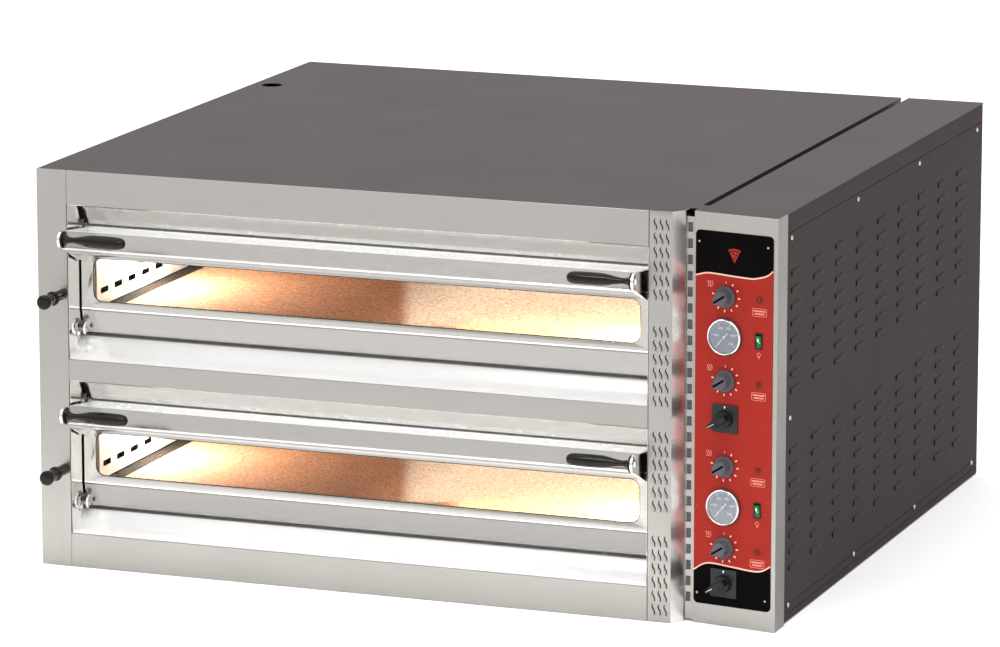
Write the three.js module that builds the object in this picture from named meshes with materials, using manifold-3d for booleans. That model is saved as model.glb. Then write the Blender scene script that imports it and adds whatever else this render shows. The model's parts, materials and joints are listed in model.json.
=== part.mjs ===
// Two-deck electric pizza oven for a counter: sheet-metal case, two stone-floored chambers with
// bottom-hinged glazed doors, steam dampers, and a separate control housing on the right.
// Units are millimetres. X is the width, Y runs from front to back, Z is up.
// Inside the datum group y is the depth behind the front plane; the group sets the origin at the
// centre of the base. Inside a deck group z is the height above the front edge of that deck's sill.
import * as THREE from "three";
import { mergeVertices } from "three/addons/utils/BufferGeometryUtils.js";
import Module from "manifold-3d";

const wasm = await Module();
wasm.setup();

// ---- driving dimensions ----
const WIDTH = 1370;
const DEPTH = 1255;
const HEIGHT = 716;
const HALF_WIDTH = WIDTH / 2;
const SHEET = 1.5;
const GAP = 0.3;
const BEHIND_FRONT = SHEET + 0.4;
const BASE_TOP = 2;
const COVER_UNDERSIDE = HEIGHT - SHEET;
const WALL_BOTTOM = BASE_TOP + GAP;
const WALL_TOP = COVER_UNDERSIDE - GAP;
const FLANGE = 20;

// case plan
const PILLAR_LEFT = -HALF_WIDTH;
const RECESS_LEFT = -628;
const RECESS_RIGHT = 455;
const CHAMFER_START = 496.7;
const CHAMFER_END = [513, 23.4];
const PILLAR_RETURN = 12;
const PILLAR_WRAP = 50;
const BODY_WALL_X = 522.5;
const CONTROL_WALL_X = 538.5;
const CONTROL_LEFT = [528.3, 24.7];
const CONTROL_WRAP = 52;
const SIDE_PANEL_SHEET = 1.2;
const LOUVRE_ROOM = 2.5;
const STEAM_OUTLET = { x: -645, y: 970, radius: 20 };

// decks: height of each sill edge, and heights above it
const DECKS = { lower: 61, upper: 377 };
const RECESS_HEIGHT = 277;
const RECESS_DEPTH = 98.7;
const SLOPE_DEPTH = 59;
const SILL_RISE = 32;
const DEFLECTOR_Z = 234.5;

// doors
const DOOR_LEFT = -623.5;
const DOOR_RIGHT = 450.5;
const DOOR_OUTLINE = [[92, 222], [68, 229], [61, 218], [50, 186], [50, 82], [58, 38], [92, 38]];
const DOOR_PIVOT = { y: 46, z: 45 };
const WINDOW = { x0: -601.5, x1: 424.3, z0: 96, z1: 175, radius: 18 };
const GLASS = { x0: -618.5, x1: 445.5, y0: 51.9, y1: 55.9, z0: 84, z1: 185 };
const LINER_OPENING = { x0: -616.5, x1: 443.5, z0: 86, z1: 183, radius: 8 };
const LINER_Y = 88;
const PIN_RADIUS = 4;
const PIN_HOLE_RADIUS = 4.7;
const ARM_SHEET = 5;
const ARM_INSET = 3.3;
const EAR = { y: -43, z: 223.5, radius: 15.5 };
const ARM_ROOT_Z = 165;
const LUG_INSET = 6.5;
const LUG_SHEET = 4;
const HANDLE_PROFILE = [
  [0, 0], [15, 0], [15, 3], [8, 6], [5.2, 19], [7, 32], [10.8, 52], [11.3, 72], [11, 103.5], [8, 114.5],
  [0, 118.5],
];

// chambers
const CHAMBER = { x0: -618, x1: 446, y1: 1179, z0: 36, z1: 216 };
const MOUTH = { z0: 62, z1: 214 };
const STONE = { z0: 57, z1: 74, margin: 1.5, sideStrip: 21 };
const LEDGE_WIDTH = 33;
const STEAM_SLOT = { first: 134, pitch: 59.5, count: 15, length: 26, height: 9, z: 101 };
const ELEMENT = { radius: 4, runs: 6, first: 150, pitch: 180, left: -500, right: 350, lead: 440 };
const TOP_ELEMENT_Z = 204;
const BOTTOM_ELEMENT_Z = 46;

// steam pulls
const PULL = { x: -637, z: 116.5, rodRadius: 4, holeRadius: 5.2, rodFront: -18, rodBack: 156 };
const DAMPER = { x0: -622, x1: -620.2, y0: 133, y1: 1060, z0: 88, z1: 114 };
const DUCT = { x0: -681, x1: -623, y0: 108, y1: 1110, z0: 84, z1: 136, sheet: 1 };
const RISER = { x0: -664.5, x1: -626, y0: 946, y1: 994 };
const KNOB_PROFILE = [
  [0, 22], [4.5, 22], [4.5, 1], [9.5, 1], [9.5, 40], [12.8, 41.5], [12.8, 45], [10, 46.5], [13.1, 76],
  [12, 82], [0, 85],
];

// vent slots
const VENT = { width: 2.2, height: 19.5, rowPitch: 24.1, rows: 6 };
const VENT_COLUMNS = [466.5, 477.3, 488.1];
const VENT_GROUPS = [82, 264.5, 448, 633];
const STRIP = { y: 28, z0: 4, z1: 705 };
const STRIP_HOLE = { x: 519, width: 10, height: 16.5, pitch: 28, top: 687, count: 24 };

// controls, on the tilted front: x along the front from its left edge
const PLATE = { x0: 3, x1: 150, z0: 35, z1: 685, radius: 8, sheet: 0.8 };
const THERMOSTATS = { upper_front: 574, upper_rear: 429, lower_front: 280, lower_rear: 138 };
const THERMOSTAT_X = 61;
const GAUGES = { upper: 505, lower: 209 };
const GAUGE_X = 60;
const CAMS = { upper: 363, lower: 75.5 };
const CAM_X = 61.5;
const ROCKERS = { upper: 504, lower: 210.5 };
const ROCKER_X = 124;
const LAMP_X = 124.5;
const DEGREE = Math.PI / 180;
const THERMOSTAT_ANGLE = 213 * DEGREE;
const SWITCH_ANGLE = 210 * DEGREE;
const NEEDLE_ANGLE = 228 * DEGREE;
const ROCKER_TILT = 10 * DEGREE;
const GLAND = { x: 610, z: 90, holeRadius: 11 };

// ---- materials ----
function metal(color, roughness) {
  return new THREE.MeshStandardMaterial({ color, roughness, metalness: 1 });
}

function plastic(color, roughness) {
  return new THREE.MeshStandardMaterial({ color, roughness, metalness: 0 });
}

const brushedSteel = metal(0xb9b8b5, 0.35);
const polishedSteel = metal(0xd8d8d6, 0.12);
const paintedSheet = plastic(0x4d4544, 0.5);
const innerSheet = metal(0x9a9894, 0.5);
const stone = plastic(0xb48463, 0.9);
const insulation = plastic(0xcfc7a8, 1);
const elementSteel = metal(0x5b5550, 0.6);
const bakelite = plastic(0x1a1614, 0.2);
const glass = plastic(0xe9e2d4, 0.05);
const redPlate = plastic(0xc2332a, 0.4);
const knobPlastic = plastic(0x2b2b2d, 0.45);
const needleWhite = plastic(0xf2f2f2, 0.5);
const rockerGreen = plastic(0x4fae57, 0.3);

// ---- solids ----
const alongX = new THREE.Matrix4().makeBasis(
  new THREE.Vector3(0, 1, 0), new THREE.Vector3(0, 0, 1), new THREE.Vector3(1, 0, 0));
const alongMinusY = new THREE.Matrix4().makeBasis(
  new THREE.Vector3(1, 0, 0), new THREE.Vector3(0, 0, 1), new THREE.Vector3(0, -1, 0));

function shapeOf(points) {
  return new THREE.Shape(points.map(([a, b]) => new THREE.Vector2(a, b)));
}

function extrude(shape, length, curveSegments = 3) {
  return new THREE.ExtrudeGeometry(shape, { depth: length, bevelEnabled: false, curveSegments });
}

// a section drawn in Y-Z, running from x0 to x1
function prismX(shape, x0, x1) {
  return extrude(shape, x1 - x0).applyMatrix4(alongX).translate(x0, 0, 0);
}

// a section drawn in X-Z, running from y0 to y1
function prismY(shape, y0, y1) {
  return extrude(shape, y1 - y0).applyMatrix4(alongMinusY).translate(0, y1, 0);
}

// a section drawn in X-Y, running from z0 to z1
function prismZ(shape, z0, z1) {
  return extrude(shape, z1 - z0).translate(0, 0, z0);
}

function box(x0, x1, y0, y1, z0, z1) {
  const geometry = new THREE.BoxGeometry(x1 - x0, y1 - y0, z1 - z0);
  return geometry.translate((x0 + x1) / 2, (y0 + y1) / 2, (z0 + z1) / 2);
}

function rodX(radius, x0, x1, y, z, sides = 12) {
  const geometry = new THREE.CylinderGeometry(radius, radius, x1 - x0, sides);
  return geometry.rotateZ(Math.PI / 2).translate((x0 + x1) / 2, y, z);
}

function rodY(radius, y0, y1, x, z, sides = 12) {
  const geometry = new THREE.CylinderGeometry(radius, radius, y1 - y0, sides);
  return geometry.translate(x, (y0 + y1) / 2, z);
}

// a turned piece: profile points are [radius, distance along the axis]; the axis is Y
function turned(profile, sides) {
  return new THREE.LatheGeometry(profile.map(([r, y]) => new THREE.Vector2(r, y)), sides);
}

function roundedRectangle(x0, x1, z0, z1, radius) {
  const shape = new THREE.Shape();
  const quarter = Math.PI / 2;
  shape.absarc(x1 - radius, z1 - radius, radius, 0, quarter, false);
  shape.absarc(x0 + radius, z1 - radius, radius, quarter, 2 * quarter, false);
  shape.absarc(x0 + radius, z0 + radius, radius, 2 * quarter, 3 * quarter, false);
  shape.absarc(x1 - radius, z0 + radius, radius, 3 * quarter, 4 * quarter, false);
  return shape;
}

// the section of a folded sheet: a line, then the same line moved to its left by the thickness
function folded(line, thickness = SHEET) {
  const last = line.length - 1;
  const heading = (i) => {
    const [a, b] = [line[i], line[i + 1]];
    const length = Math.hypot(b[0] - a[0], b[1] - a[1]);
    return [(b[0] - a[0]) / length, (b[1] - a[1]) / length];
  };
  const moved = line.map((point, i) => {
    const into = heading(Math.max(i - 1, 0));
    const out = heading(Math.min(i, last - 1));
    const mitre = [-(into[1] + out[1]), into[0] + out[0]];
    const scale = (2 * thickness) / (mitre[0] * mitre[0] + mitre[1] * mitre[1]);
    return [point[0] + mitre[0] * scale, point[1] + mitre[1] * scale];
  });
  return shapeOf([...line, ...moved.reverse()]);
}

function solid(geometry) {
  const bare = geometry.clone();
  bare.deleteAttribute("normal");
  bare.deleteAttribute("uv");
  const merged = mergeVertices(bare, 1e-4);
  return new wasm.Manifold(new wasm.Mesh({
    numProp: 3,
    vertProperties: new Float32Array(merged.attributes.position.array),
    triVerts: new Uint32Array(merged.index.array),
  }));
}

function geometryOf(body) {
  const mesh = body.getMesh();
  const geometry = new THREE.BufferGeometry();
  geometry.setAttribute("position", new THREE.BufferAttribute(new Float32Array(mesh.vertProperties), 3));
  geometry.setIndex(new THREE.BufferAttribute(new Uint32Array(mesh.triVerts), 1));
  geometry.computeVertexNormals();
  return geometry;
}

function join(...geometries) {
  return geometryOf(geometries.map(solid).reduce((sum, next) => sum.add(next)));
}

function cut(geometry, ...tools) {
  return geometryOf(tools.map(solid).reduce((rest, tool) => rest.subtract(tool), solid(geometry)));
}

function piece(name, geometry, material) {
  const mesh = new THREE.Mesh(geometry, material.clone());
  mesh.name = name;
  return mesh;
}

// ---- case ----
const controlDirection = Math.atan2(-CONTROL_LEFT[1], HALF_WIDTH - CONTROL_LEFT[0]);
const controlLength = Math.hypot(CONTROL_LEFT[1], HALF_WIDTH - CONTROL_LEFT[0]);

// a point on a line parallel to the control front and behind it by a distance, at a given x
function behindControl(x, distance) {
  const y = CONTROL_LEFT[1] + (x - CONTROL_LEFT[0]) * Math.tan(controlDirection);
  return [x, y + distance / Math.cos(controlDirection)];
}

// the same for the chamfered side of the vent pillar, at a given y
function behindChamfer(y, distance) {
  const run = [CHAMFER_END[0] - CHAMFER_START, CHAMFER_END[1]];
  const x = CHAMFER_START + (y * run[0]) / run[1];
  return [x - (distance * Math.hypot(...run)) / run[1], y];
}

// the ends of a pillar's inner return stop short of the base panel and the top cover
function returnNotches(x) {
  const [x0, x1] = [x - 2 * SHEET, x + 2 * SHEET];
  const y0 = SHEET + 0.1;
  const y1 = PILLAR_RETURN + 1;
  return [box(x0, x1, y0, y1, -1, WALL_BOTTOM), box(x0, x1, y0, y1, WALL_TOP, HEIGHT + 1)];
}

function leftPillar() {
  const section = folded([
    [PILLAR_LEFT, PILLAR_WRAP], [PILLAR_LEFT, 0], [RECESS_LEFT, 0], [RECESS_LEFT, PILLAR_RETURN],
  ]);
  const rodHoles = Object.values(DECKS).map(
    (base) => rodY(PULL.holeRadius, -1, SHEET + 1, PULL.x, base + PULL.z, 16));
  const post = prismZ(section, 0, HEIGHT);
  return piece("left_pillar", cut(post, ...returnNotches(RECESS_LEFT), ...rodHoles), brushedSteel);
}

function ventPillar() {
  const section = folded([
    [RECESS_RIGHT, PILLAR_RETURN], [RECESS_RIGHT, 0], [CHAMFER_START, 0], CHAMFER_END,
    [CHAMFER_END[0], 46],
  ]);
  const slots = [];
  for (const centre of VENT_GROUPS) {
    for (let row = 0; row < VENT.rows; row += 1) {
      const z = centre + (row - (VENT.rows - 1) / 2) * VENT.rowPitch;
      for (const x of VENT_COLUMNS) {
        slots.push(box(x - VENT.width / 2, x + VENT.width / 2, -1, SHEET + 1, z - VENT.height / 2,
          z + VENT.height / 2));
      }
    }
  }
  const post = prismZ(section, 0, HEIGHT);
  return piece("vent_pillar", cut(post, ...returnNotches(RECESS_RIGHT), ...slots), brushedSteel);
}

function fascia(name, z0, z1, flangeZ) {
  const [x0, x1] = [RECESS_LEFT + GAP, RECESS_RIGHT - GAP];
  const face = box(x0, x1, 0, SHEET, z0, z1);
  const flange = box(x0 + SHEET + 1, x1 - SHEET - 1, SHEET / 2, FLANGE, flangeZ, flangeZ + SHEET);
  return piece(name, join(face, flange), brushedSteel);
}

function basePanel() {
  const outline = shapeOf([
    [PILLAR_LEFT + SHEET + GAP, BEHIND_FRONT],
    behindChamfer(BEHIND_FRONT, BEHIND_FRONT),
    behindChamfer(CHAMFER_END[1] + 0.5, BEHIND_FRONT),
    [CHAMFER_END[0] - BEHIND_FRONT, 47],
    [CONTROL_LEFT[0] + 2.2, 47],
    behindControl(CONTROL_LEFT[0] + 2.2, BEHIND_FRONT),
    behindControl(HALF_WIDTH - 2.1, BEHIND_FRONT),
    [HALF_WIDTH - 2.1, DEPTH - 2],
    [PILLAR_LEFT + SHEET + GAP, DEPTH - 2],
  ]);
  return piece("base_panel", prismZ(outline, 0, BASE_TOP), innerSheet);
}

function topCover() {
  const inner = CHAMFER_END[0] - BEHIND_FRONT;
  const outline = shapeOf([
    [PILLAR_LEFT + SHEET + GAP, BEHIND_FRONT],
    behindChamfer(BEHIND_FRONT, BEHIND_FRONT),
    [inner, CHAMFER_END[1] + 0.5],
    [inner, 47.5],
    [536.4, 47.5],
    [536.4, 80.3],
    [524, 80.3],
    [524, DEPTH - GAP],
    [PILLAR_LEFT + GAP, DEPTH - GAP],
    [PILLAR_LEFT + GAP, PILLAR_WRAP + 0.6],
    [PILLAR_LEFT + SHEET + GAP, PILLAR_WRAP + 0.6],
  ]);
  const hole = new THREE.Path();
  hole.absarc(STEAM_OUTLET.x, STEAM_OUTLET.y, STEAM_OUTLET.radius, 0, 2 * Math.PI, true);
  outline.holes.push(hole);
  const geometry = extrude(outline, SHEET, 12).translate(0, 0, COVER_UNDERSIDE);
  return piece("top_cover", geometry, paintedSheet);
}

function controlTopCover() {
  const left = CONTROL_LEFT[0] + 2.2;
  const right = HALF_WIDTH - 2.1;
  const outline = shapeOf([
    behindControl(left, BEHIND_FRONT),
    behindControl(right, BEHIND_FRONT),
    [right, CONTROL_WRAP + 0.6],
    [HALF_WIDTH - GAP, CONTROL_WRAP + 0.6],
    [HALF_WIDTH - GAP, DEPTH - GAP],
    [537, DEPTH - GAP],
    [537, 46.8],
    [left, 46.8],
  ]);
  return piece("control_top_cover", prismZ(outline, COVER_UNDERSIDE, HEIGHT), paintedSheet);
}

function leftSidePanel() {
  const section = shapeOf([
    [PILLAR_LEFT, WALL_BOTTOM], [PILLAR_LEFT, WALL_TOP], [PILLAR_LEFT + FLANGE, WALL_TOP],
    [PILLAR_LEFT + FLANGE, WALL_TOP - SHEET], [PILLAR_LEFT + SHEET, WALL_TOP - SHEET],
    [PILLAR_LEFT + SHEET, WALL_BOTTOM],
  ]);
  return piece("left_side_panel", prismY(section, PILLAR_WRAP + GAP, DEPTH - SHEET - GAP), paintedSheet);
}

function rightSidePanel() {
  const x1 = HALF_WIDTH - LOUVRE_ROOM;
  const panel = box(x1 - SIDE_PANEL_SHEET, x1, CONTROL_WRAP + GAP, DEPTH - SHEET - GAP, WALL_BOTTOM, WALL_TOP);
  return piece("right_side_panel", panel, paintedSheet);
}

// right wall and back of the oven body, one sheet folded round the rear corner
function bodyShell() {
  const section = folded([
    [BODY_WALL_X, 50], [BODY_WALL_X, DEPTH], [PILLAR_LEFT, DEPTH],
  ]);
  return piece("body_shell", prismZ(section, WALL_BOTTOM, WALL_TOP), paintedSheet);
}

// left wall and back of the control housing, with the cable entry
function controlShell() {
  const right = HALF_WIDTH - LOUVRE_ROOM;
  const section = folded([[right, DEPTH], [CONTROL_WALL_X, DEPTH], [CONTROL_WALL_X, 50]].reverse(), -SHEET);
  const entry = rodY(GLAND.holeRadius, DEPTH - 5, DEPTH + 1, GLAND.x, GLAND.z, 16);
  return piece("control_shell", cut(prismZ(section, WALL_BOTTOM, WALL_TOP), entry), paintedSheet);
}

// perforated strip that closes the front of the air gap
function gapStrip() {
  const [x0, x1] = [CHAMFER_END[0] + 0.6, CONTROL_LEFT[0] - 0.7];
  const section = folded([[x0, 64], [x0, STRIP.y], [x1, STRIP.y], [x1, 64]]);
  const half = STRIP_HOLE.width / 2;
  const holes = [];
  for (let i = 0; i < STRIP_HOLE.count; i += 1) {
    const z = STRIP_HOLE.top - i * STRIP_HOLE.pitch;
    holes.push(box(STRIP_HOLE.x - half, STRIP_HOLE.x + half, STRIP.y - 1, STRIP.y + SHEET + 1,
      z - STRIP_HOLE.height / 2, z + STRIP_HOLE.height / 2));
  }
  return piece("gap_strip", cut(prismZ(section, STRIP.z0, STRIP.z1), ...holes), brushedSteel);
}

// ---- one deck ----
function surround() {
  const top = folded([
    [RECESS_DEPTH, DEFLECTOR_Z], [SLOPE_DEPTH, DEFLECTOR_Z], [BEHIND_FRONT, RECESS_HEIGHT - 0.6],
  ], -SHEET);
  const sill = folded([[BEHIND_FRONT, 0.4], [SLOPE_DEPTH, SILL_RISE], [RECESS_DEPTH, SILL_RISE]], -SHEET);
  const jamb = shapeOf([
    [BEHIND_FRONT, -1.3], [SLOPE_DEPTH, SILL_RISE - SHEET], [RECESS_DEPTH, SILL_RISE - SHEET],
    [RECESS_DEPTH, DEFLECTOR_Z + SHEET], [SLOPE_DEPTH, DEFLECTOR_Z + SHEET], [BEHIND_FRONT, RECESS_HEIGHT + 1],
  ]);
  const [x0, x1] = [RECESS_LEFT + GAP, RECESS_RIGHT - GAP];
  return join(prismX(top, x0, x1), prismX(sill, x0, x1), prismX(jamb, x0, x0 + SHEET),
    prismX(jamb, x1 - SHEET, x1));
}

// an arm: round ear in front, straight edges back to the door skin
function armShape() {
  const shape = new THREE.Shape();
  shape.absarc(EAR.y, EAR.z, EAR.radius, 93 * DEGREE, 238 * DEGREE, false);
  const skinMiddle = DOOR_OUTLINE[4][0] + SHEET / 2;
  shape.lineTo(skinMiddle, ARM_ROOT_Z);
  shape.lineTo(skinMiddle, DOOR_OUTLINE[3][1]);
  shape.lineTo(DOOR_OUTLINE[2][0] + SHEET / 2, DOOR_OUTLINE[2][1] - SHEET / 2);
  shape.lineTo(DOOR_OUTLINE[1][0], DOOR_OUTLINE[1][1] - SHEET / 2);
  return shape;
}

function lugShape() {
  return shapeOf([[38, 50], [41, 37], [58, 37], [58.6, 40], [54.6, 62], [50, 62], [40, 54]]);
}

function doorSkin() {
  const skin = prismX(folded(DOOR_OUTLINE), DOOR_LEFT, DOOR_RIGHT);
  const ends = [DOOR_LEFT, DOOR_RIGHT - SHEET].map((x) => prismX(shapeOf(DOOR_OUTLINE), x, x + SHEET));
  const armStarts = [DOOR_LEFT + ARM_INSET, DOOR_RIGHT - ARM_INSET - ARM_SHEET];
  const arms = armStarts.map((x) => prismX(armShape(), x, x + ARM_SHEET));
  const lugStarts = [DOOR_LEFT + LUG_INSET, DOOR_RIGHT - LUG_INSET - LUG_SHEET];
  const lugs = lugStarts.map((x) => prismX(lugShape(), x, x + LUG_SHEET));
  const window = prismY(roundedRectangle(WINDOW.x0, WINDOW.x1, WINDOW.z0, WINDOW.z1, WINDOW.radius), 45, 60);
  const pinHoles = lugStarts.map(
    (x) => rodX(PIN_HOLE_RADIUS, x - 1, x + LUG_SHEET + 1, DOOR_PIVOT.y, DOOR_PIVOT.z, 12));
  return cut(join(skin, ...ends, ...arms, ...lugs), window, ...pinHoles);
}

function doorLiner() {
  const x0 = DOOR_LEFT + SHEET + GAP;
  const x1 = DOOR_RIGHT - SHEET - GAP;
  const plate = box(x0, x1, LINER_Y, LINER_Y + SHEET, 39.9, 221);
  const o = LINER_OPENING;
  const opening = prismY(roundedRectangle(o.x0, o.x1, o.z0, o.z1, o.radius), GLASS.y1, LINER_Y + 2 * SHEET);
  const rim = roundedRectangle(o.x0 - SHEET, o.x1 + SHEET, o.z0 - SHEET, o.z1 + SHEET, o.radius + SHEET);
  const tube = prismY(rim, GLASS.y1 + GAP, LINER_Y + SHEET);
  return cut(join(plate, tube), opening);
}

function handle(x, direction) {
  const mesh = new THREE.Group();
  mesh.position.set(x, EAR.y, EAR.z);
  mesh.rotation.z = direction > 0 ? -Math.PI / 2 : Math.PI / 2;
  return mesh;
}

// bracket fixed to a jamb; its pin carries the door's lug
function hingeBracket(jambX, direction) {
  const near = jambX + direction * GAP;
  const far = near + direction * 2;
  const tip = near + direction * 15.5;
  const outline = roundedRectangle(30, 64, 32.6, 60, 6);
  const plate = prismX(outline, Math.min(near, far), Math.max(near, far));
  const pin = rodX(PIN_RADIUS, Math.min(near, tip), Math.max(near, tip), DOOR_PIVOT.y, DOOR_PIVOT.z, 12);
  return join(plate, pin);
}

function slotCentres() {
  return Array.from({ length: STEAM_SLOT.count }, (_, i) => STEAM_SLOT.first + i * STEAM_SLOT.pitch);
}

function steamSlots(x0, x1, shift) {
  return slotCentres().map((y) => box(x0, x1, y + shift - STEAM_SLOT.length / 2, y + shift + STEAM_SLOT.length / 2,
    STEAM_SLOT.z - STEAM_SLOT.height / 2, STEAM_SLOT.z + STEAM_SLOT.height / 2));
}

function chamber() {
  const c = CHAMBER;
  const y0 = RECESS_DEPTH + GAP;
  const outer = box(c.x0 - SHEET, c.x1 + SHEET, y0, c.y1 + SHEET, c.z0 - SHEET, c.z1 + SHEET);
  const flange = box(RECESS_LEFT + 0.5, RECESS_RIGHT - 0.5, y0, y0 + SHEET, SILL_RISE - SHEET,
    DEFLECTOR_Z + SHEET);
  const cavity = box(c.x0, c.x1, y0 + SHEET, c.y1, c.z0, c.z1);
  const mouth = box(c.x0, c.x1, y0 - 1, y0 + SHEET + 1, MOUTH.z0, MOUTH.z1);
  const shell = cut(join(outer, flange), cavity, mouth, ...steamSlots(c.x0 - SHEET - 1, c.x0 + 1, 0));
  // along each side wall: a ledge under the stone, and a strip that fills the space beside it
  const sides = [[c.x0 - SHEET / 2, 1], [c.x1 + SHEET / 2, -1]].flatMap(([wall, direction]) => [
    sideBar(wall, wall + direction * LEDGE_WIDTH, STONE.z0 - GAP),
    sideBar(wall, wall + direction * STONE.sideStrip, STONE.z1 - 1),
  ]);
  return join(shell, ...sides);
}

function sideBar(wall, edge, top) {
  const y0 = RECESS_DEPTH + GAP + 10;
  return box(Math.min(wall, edge), Math.max(wall, edge), y0, CHAMBER.y1 - 8, STONE.z0 - 5, top);
}

function stoneFloor() {
  const c = CHAMBER;
  const m = STONE.margin;
  const side = STONE.sideStrip;
  return box(c.x0 + side, c.x1 - side, RECESS_DEPTH + GAP + SHEET + m, c.y1 - m, STONE.z0, STONE.z1);
}

// a path through given points, with one step from each point to the next
class BentRod extends THREE.Curve {
  constructor(points) {
    super();
    this.points = points;
  }

  nearest(t) {
    return Math.round(t * (this.points.length - 1));
  }

  getPointAt(t) {
    return this.points[this.nearest(t)].clone();
  }

  getTangentAt(t) {
    const i = this.nearest(t);
    const before = this.points[Math.max(i - 1, 0)];
    const after = this.points[Math.min(i + 1, this.points.length - 1)];
    return after.clone().sub(before).normalize();
  }
}

// heating rod that runs to and fro across the chamber, both leads at the right wall
function heatingElement(z) {
  const e = ELEMENT;
  const bend = e.pitch / 2;
  const steps = 4;
  const points = [new THREE.Vector3(e.lead, e.first, z)];
  for (let run = 0; run < e.runs - 1; run += 1) {
    const y = e.first + run * e.pitch + bend;
    const side = run % 2 === 0 ? -1 : 1;
    const x = side < 0 ? e.left : e.right;
    for (let i = 0; i <= steps; i += 1) {
      const angle = -Math.PI / 2 + (Math.PI * i) / steps;
      points.push(new THREE.Vector3(x + side * bend * Math.cos(angle), y + bend * Math.sin(angle), z));
    }
  }
  points.push(new THREE.Vector3(e.lead, e.first + (e.runs - 1) * e.pitch, z));
  const section = new THREE.Shape();
  section.absarc(0, 0, e.radius, 0, 2 * Math.PI, false);
  return new THREE.ExtrudeGeometry(section, {
    steps: points.length - 1, extrudePath: new BentRod(points), curveSegments: 3,
  });
}

function damper() {
  const strip = box(DAMPER.x0, DAMPER.x1, DAMPER.y0, DAMPER.y1, DAMPER.z0, DAMPER.z1);
  const rod = rodY(PULL.rodRadius, PULL.rodFront, PULL.rodBack, PULL.x, PULL.z);
  const bracket = box(PULL.x - 2, DAMPER.x0 + 0.9, PULL.rodBack - 14, PULL.rodBack - 2, DAMPER.z1 - 6,
    PULL.z + 2);
  const slots = steamSlots(DAMPER.x0 - 1, DAMPER.x1 + 1, STEAM_SLOT.pitch / 2);
  return cut(join(strip, rod, bracket), ...slots);
}

// collecting duct along the left wall, open to the slots, with a riser near the rear
function steamDuct(riserTop) {
  const d = DUCT;
  const t = d.sheet;
  const outer = box(d.x0, d.x1, d.y0, d.y1, d.z0, d.z1);
  const riser = box(RISER.x0, RISER.x1, RISER.y0, RISER.y1, d.z1 - t / 2, riserTop);
  const inside = box(d.x0 + t, d.x1 + 1, d.y0 + t, d.y1 - t, d.z0 + t, d.z1 - t);
  const flue = box(RISER.x0 + t, RISER.x1 - t, RISER.y0 + t, RISER.y1 - t, d.z1 - 2 * t, riserTop + 1);
  const rodHole = rodY(PULL.holeRadius, d.y0 - 1, d.y0 + t + 1, PULL.x, PULL.z, 16);
  return cut(join(outer, riser), inside, flue, rodHole);
}

function lowerFlueEntry() {
  const d = DUCT;
  const t = d.sheet;
  return box(RISER.x0 + t, RISER.x1 - t, RISER.y0 + t, RISER.y1 - t, d.z0 - 1, d.z0 + 2 * t);
}

function deck(level) {
  const group = new THREE.Group();
  group.position.z = DECKS[level];
  const named = (name, geometry, material) => group.add(piece(`${level}_${name}`, geometry, material));
  named("surround", surround(), polishedSteel);
  named("door_skin", doorSkin(), polishedSteel);
  named("door_glass", box(GLASS.x0, GLASS.x1, GLASS.y0, GLASS.y1, GLASS.z0, GLASS.z1), glass);
  named("door_liner", doorLiner(), innerSheet);
  named("chamber", chamber(), innerSheet);
  named("stone_floor", stoneFloor(), stone);
  named("top_element", heatingElement(TOP_ELEMENT_Z), elementSteel);
  named("bottom_element", heatingElement(BOTTOM_ELEMENT_Z), elementSteel);
  named("damper", damper(), innerSheet);
  const isUpper = level === "upper";
  const riserTop = isUpper ? COVER_UNDERSIDE - DECKS.upper - GAP : DECKS.upper - DECKS.lower + DUCT.z0 - GAP;
  const duct = steamDuct(riserTop);
  named("steam_duct", isUpper ? cut(duct, lowerFlueEntry()) : duct, innerSheet);
  const pullKnob = piece(`${level}_pull_knob`, turned(KNOB_PROFILE, 16), bakelite);
  pullKnob.position.set(PULL.x, 0, PULL.z);
  pullKnob.rotation.z = Math.PI;
  group.add(pullKnob);
  const jambs = { left: RECESS_LEFT + GAP + SHEET, right: RECESS_RIGHT - GAP - SHEET };
  const earFaces = { left: DOOR_LEFT + ARM_INSET + ARM_SHEET + GAP, right: DOOR_RIGHT - ARM_INSET - ARM_SHEET - GAP };
  for (const side of ["left", "right"]) {
    const direction = side === "left" ? 1 : -1;
    named(`${side}_hinge_bracket`, hingeBracket(jambs[side], direction), innerSheet);
    const grip = piece(`${level}_${side}_handle`, turned(HANDLE_PROFILE, 12), bakelite);
    const holder = handle(earFaces[side], direction);
    holder.add(grip);
    group.add(holder);
  }
  return group;
}

function insulationBlock(name, z0, z1) {
  return piece(name, box(CHAMBER.x0, BODY_WALL_X - 4, 112, DEPTH - 40, z0, z1), insulation);
}

// ---- control front ----
function controlFront() {
  const section = folded([
    [CONTROL_LEFT[0], 46], CONTROL_LEFT, [HALF_WIDTH, 0], [HALF_WIDTH, CONTROL_WRAP],
  ]);
  const sheet = prismZ(section, 0, HEIGHT);
  const tools = controlCutouts().map((tool) => tool.rotateZ(controlDirection).translate(...CONTROL_LEFT, 0));
  return piece("control_front", cut(sheet, ...tools), brushedSteel);
}

function controlCutouts() {
  const [y0, y1] = [-3, 4];
  const round = (radius, x, z, sides = 8) => rodY(radius, y0, y1, x, z, sides);
  return [
    ...Object.values(THERMOSTATS).map((z) => round(4.5, THERMOSTAT_X, z)),
    ...Object.values(THERMOSTATS).map((z) => round(4.5, LAMP_X, z)),
    ...Object.values(CAMS).map((z) => round(4.5, CAM_X, z)),
    ...Object.values(GAUGES).map((z) => round(28.5, GAUGE_X, z, 24)),
    ...Object.values(ROCKERS).map((z) => box(ROCKER_X - 5.5, ROCKER_X + 5.5, y0, y1, z - 12.5, z + 12.5)),
  ];
}

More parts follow.
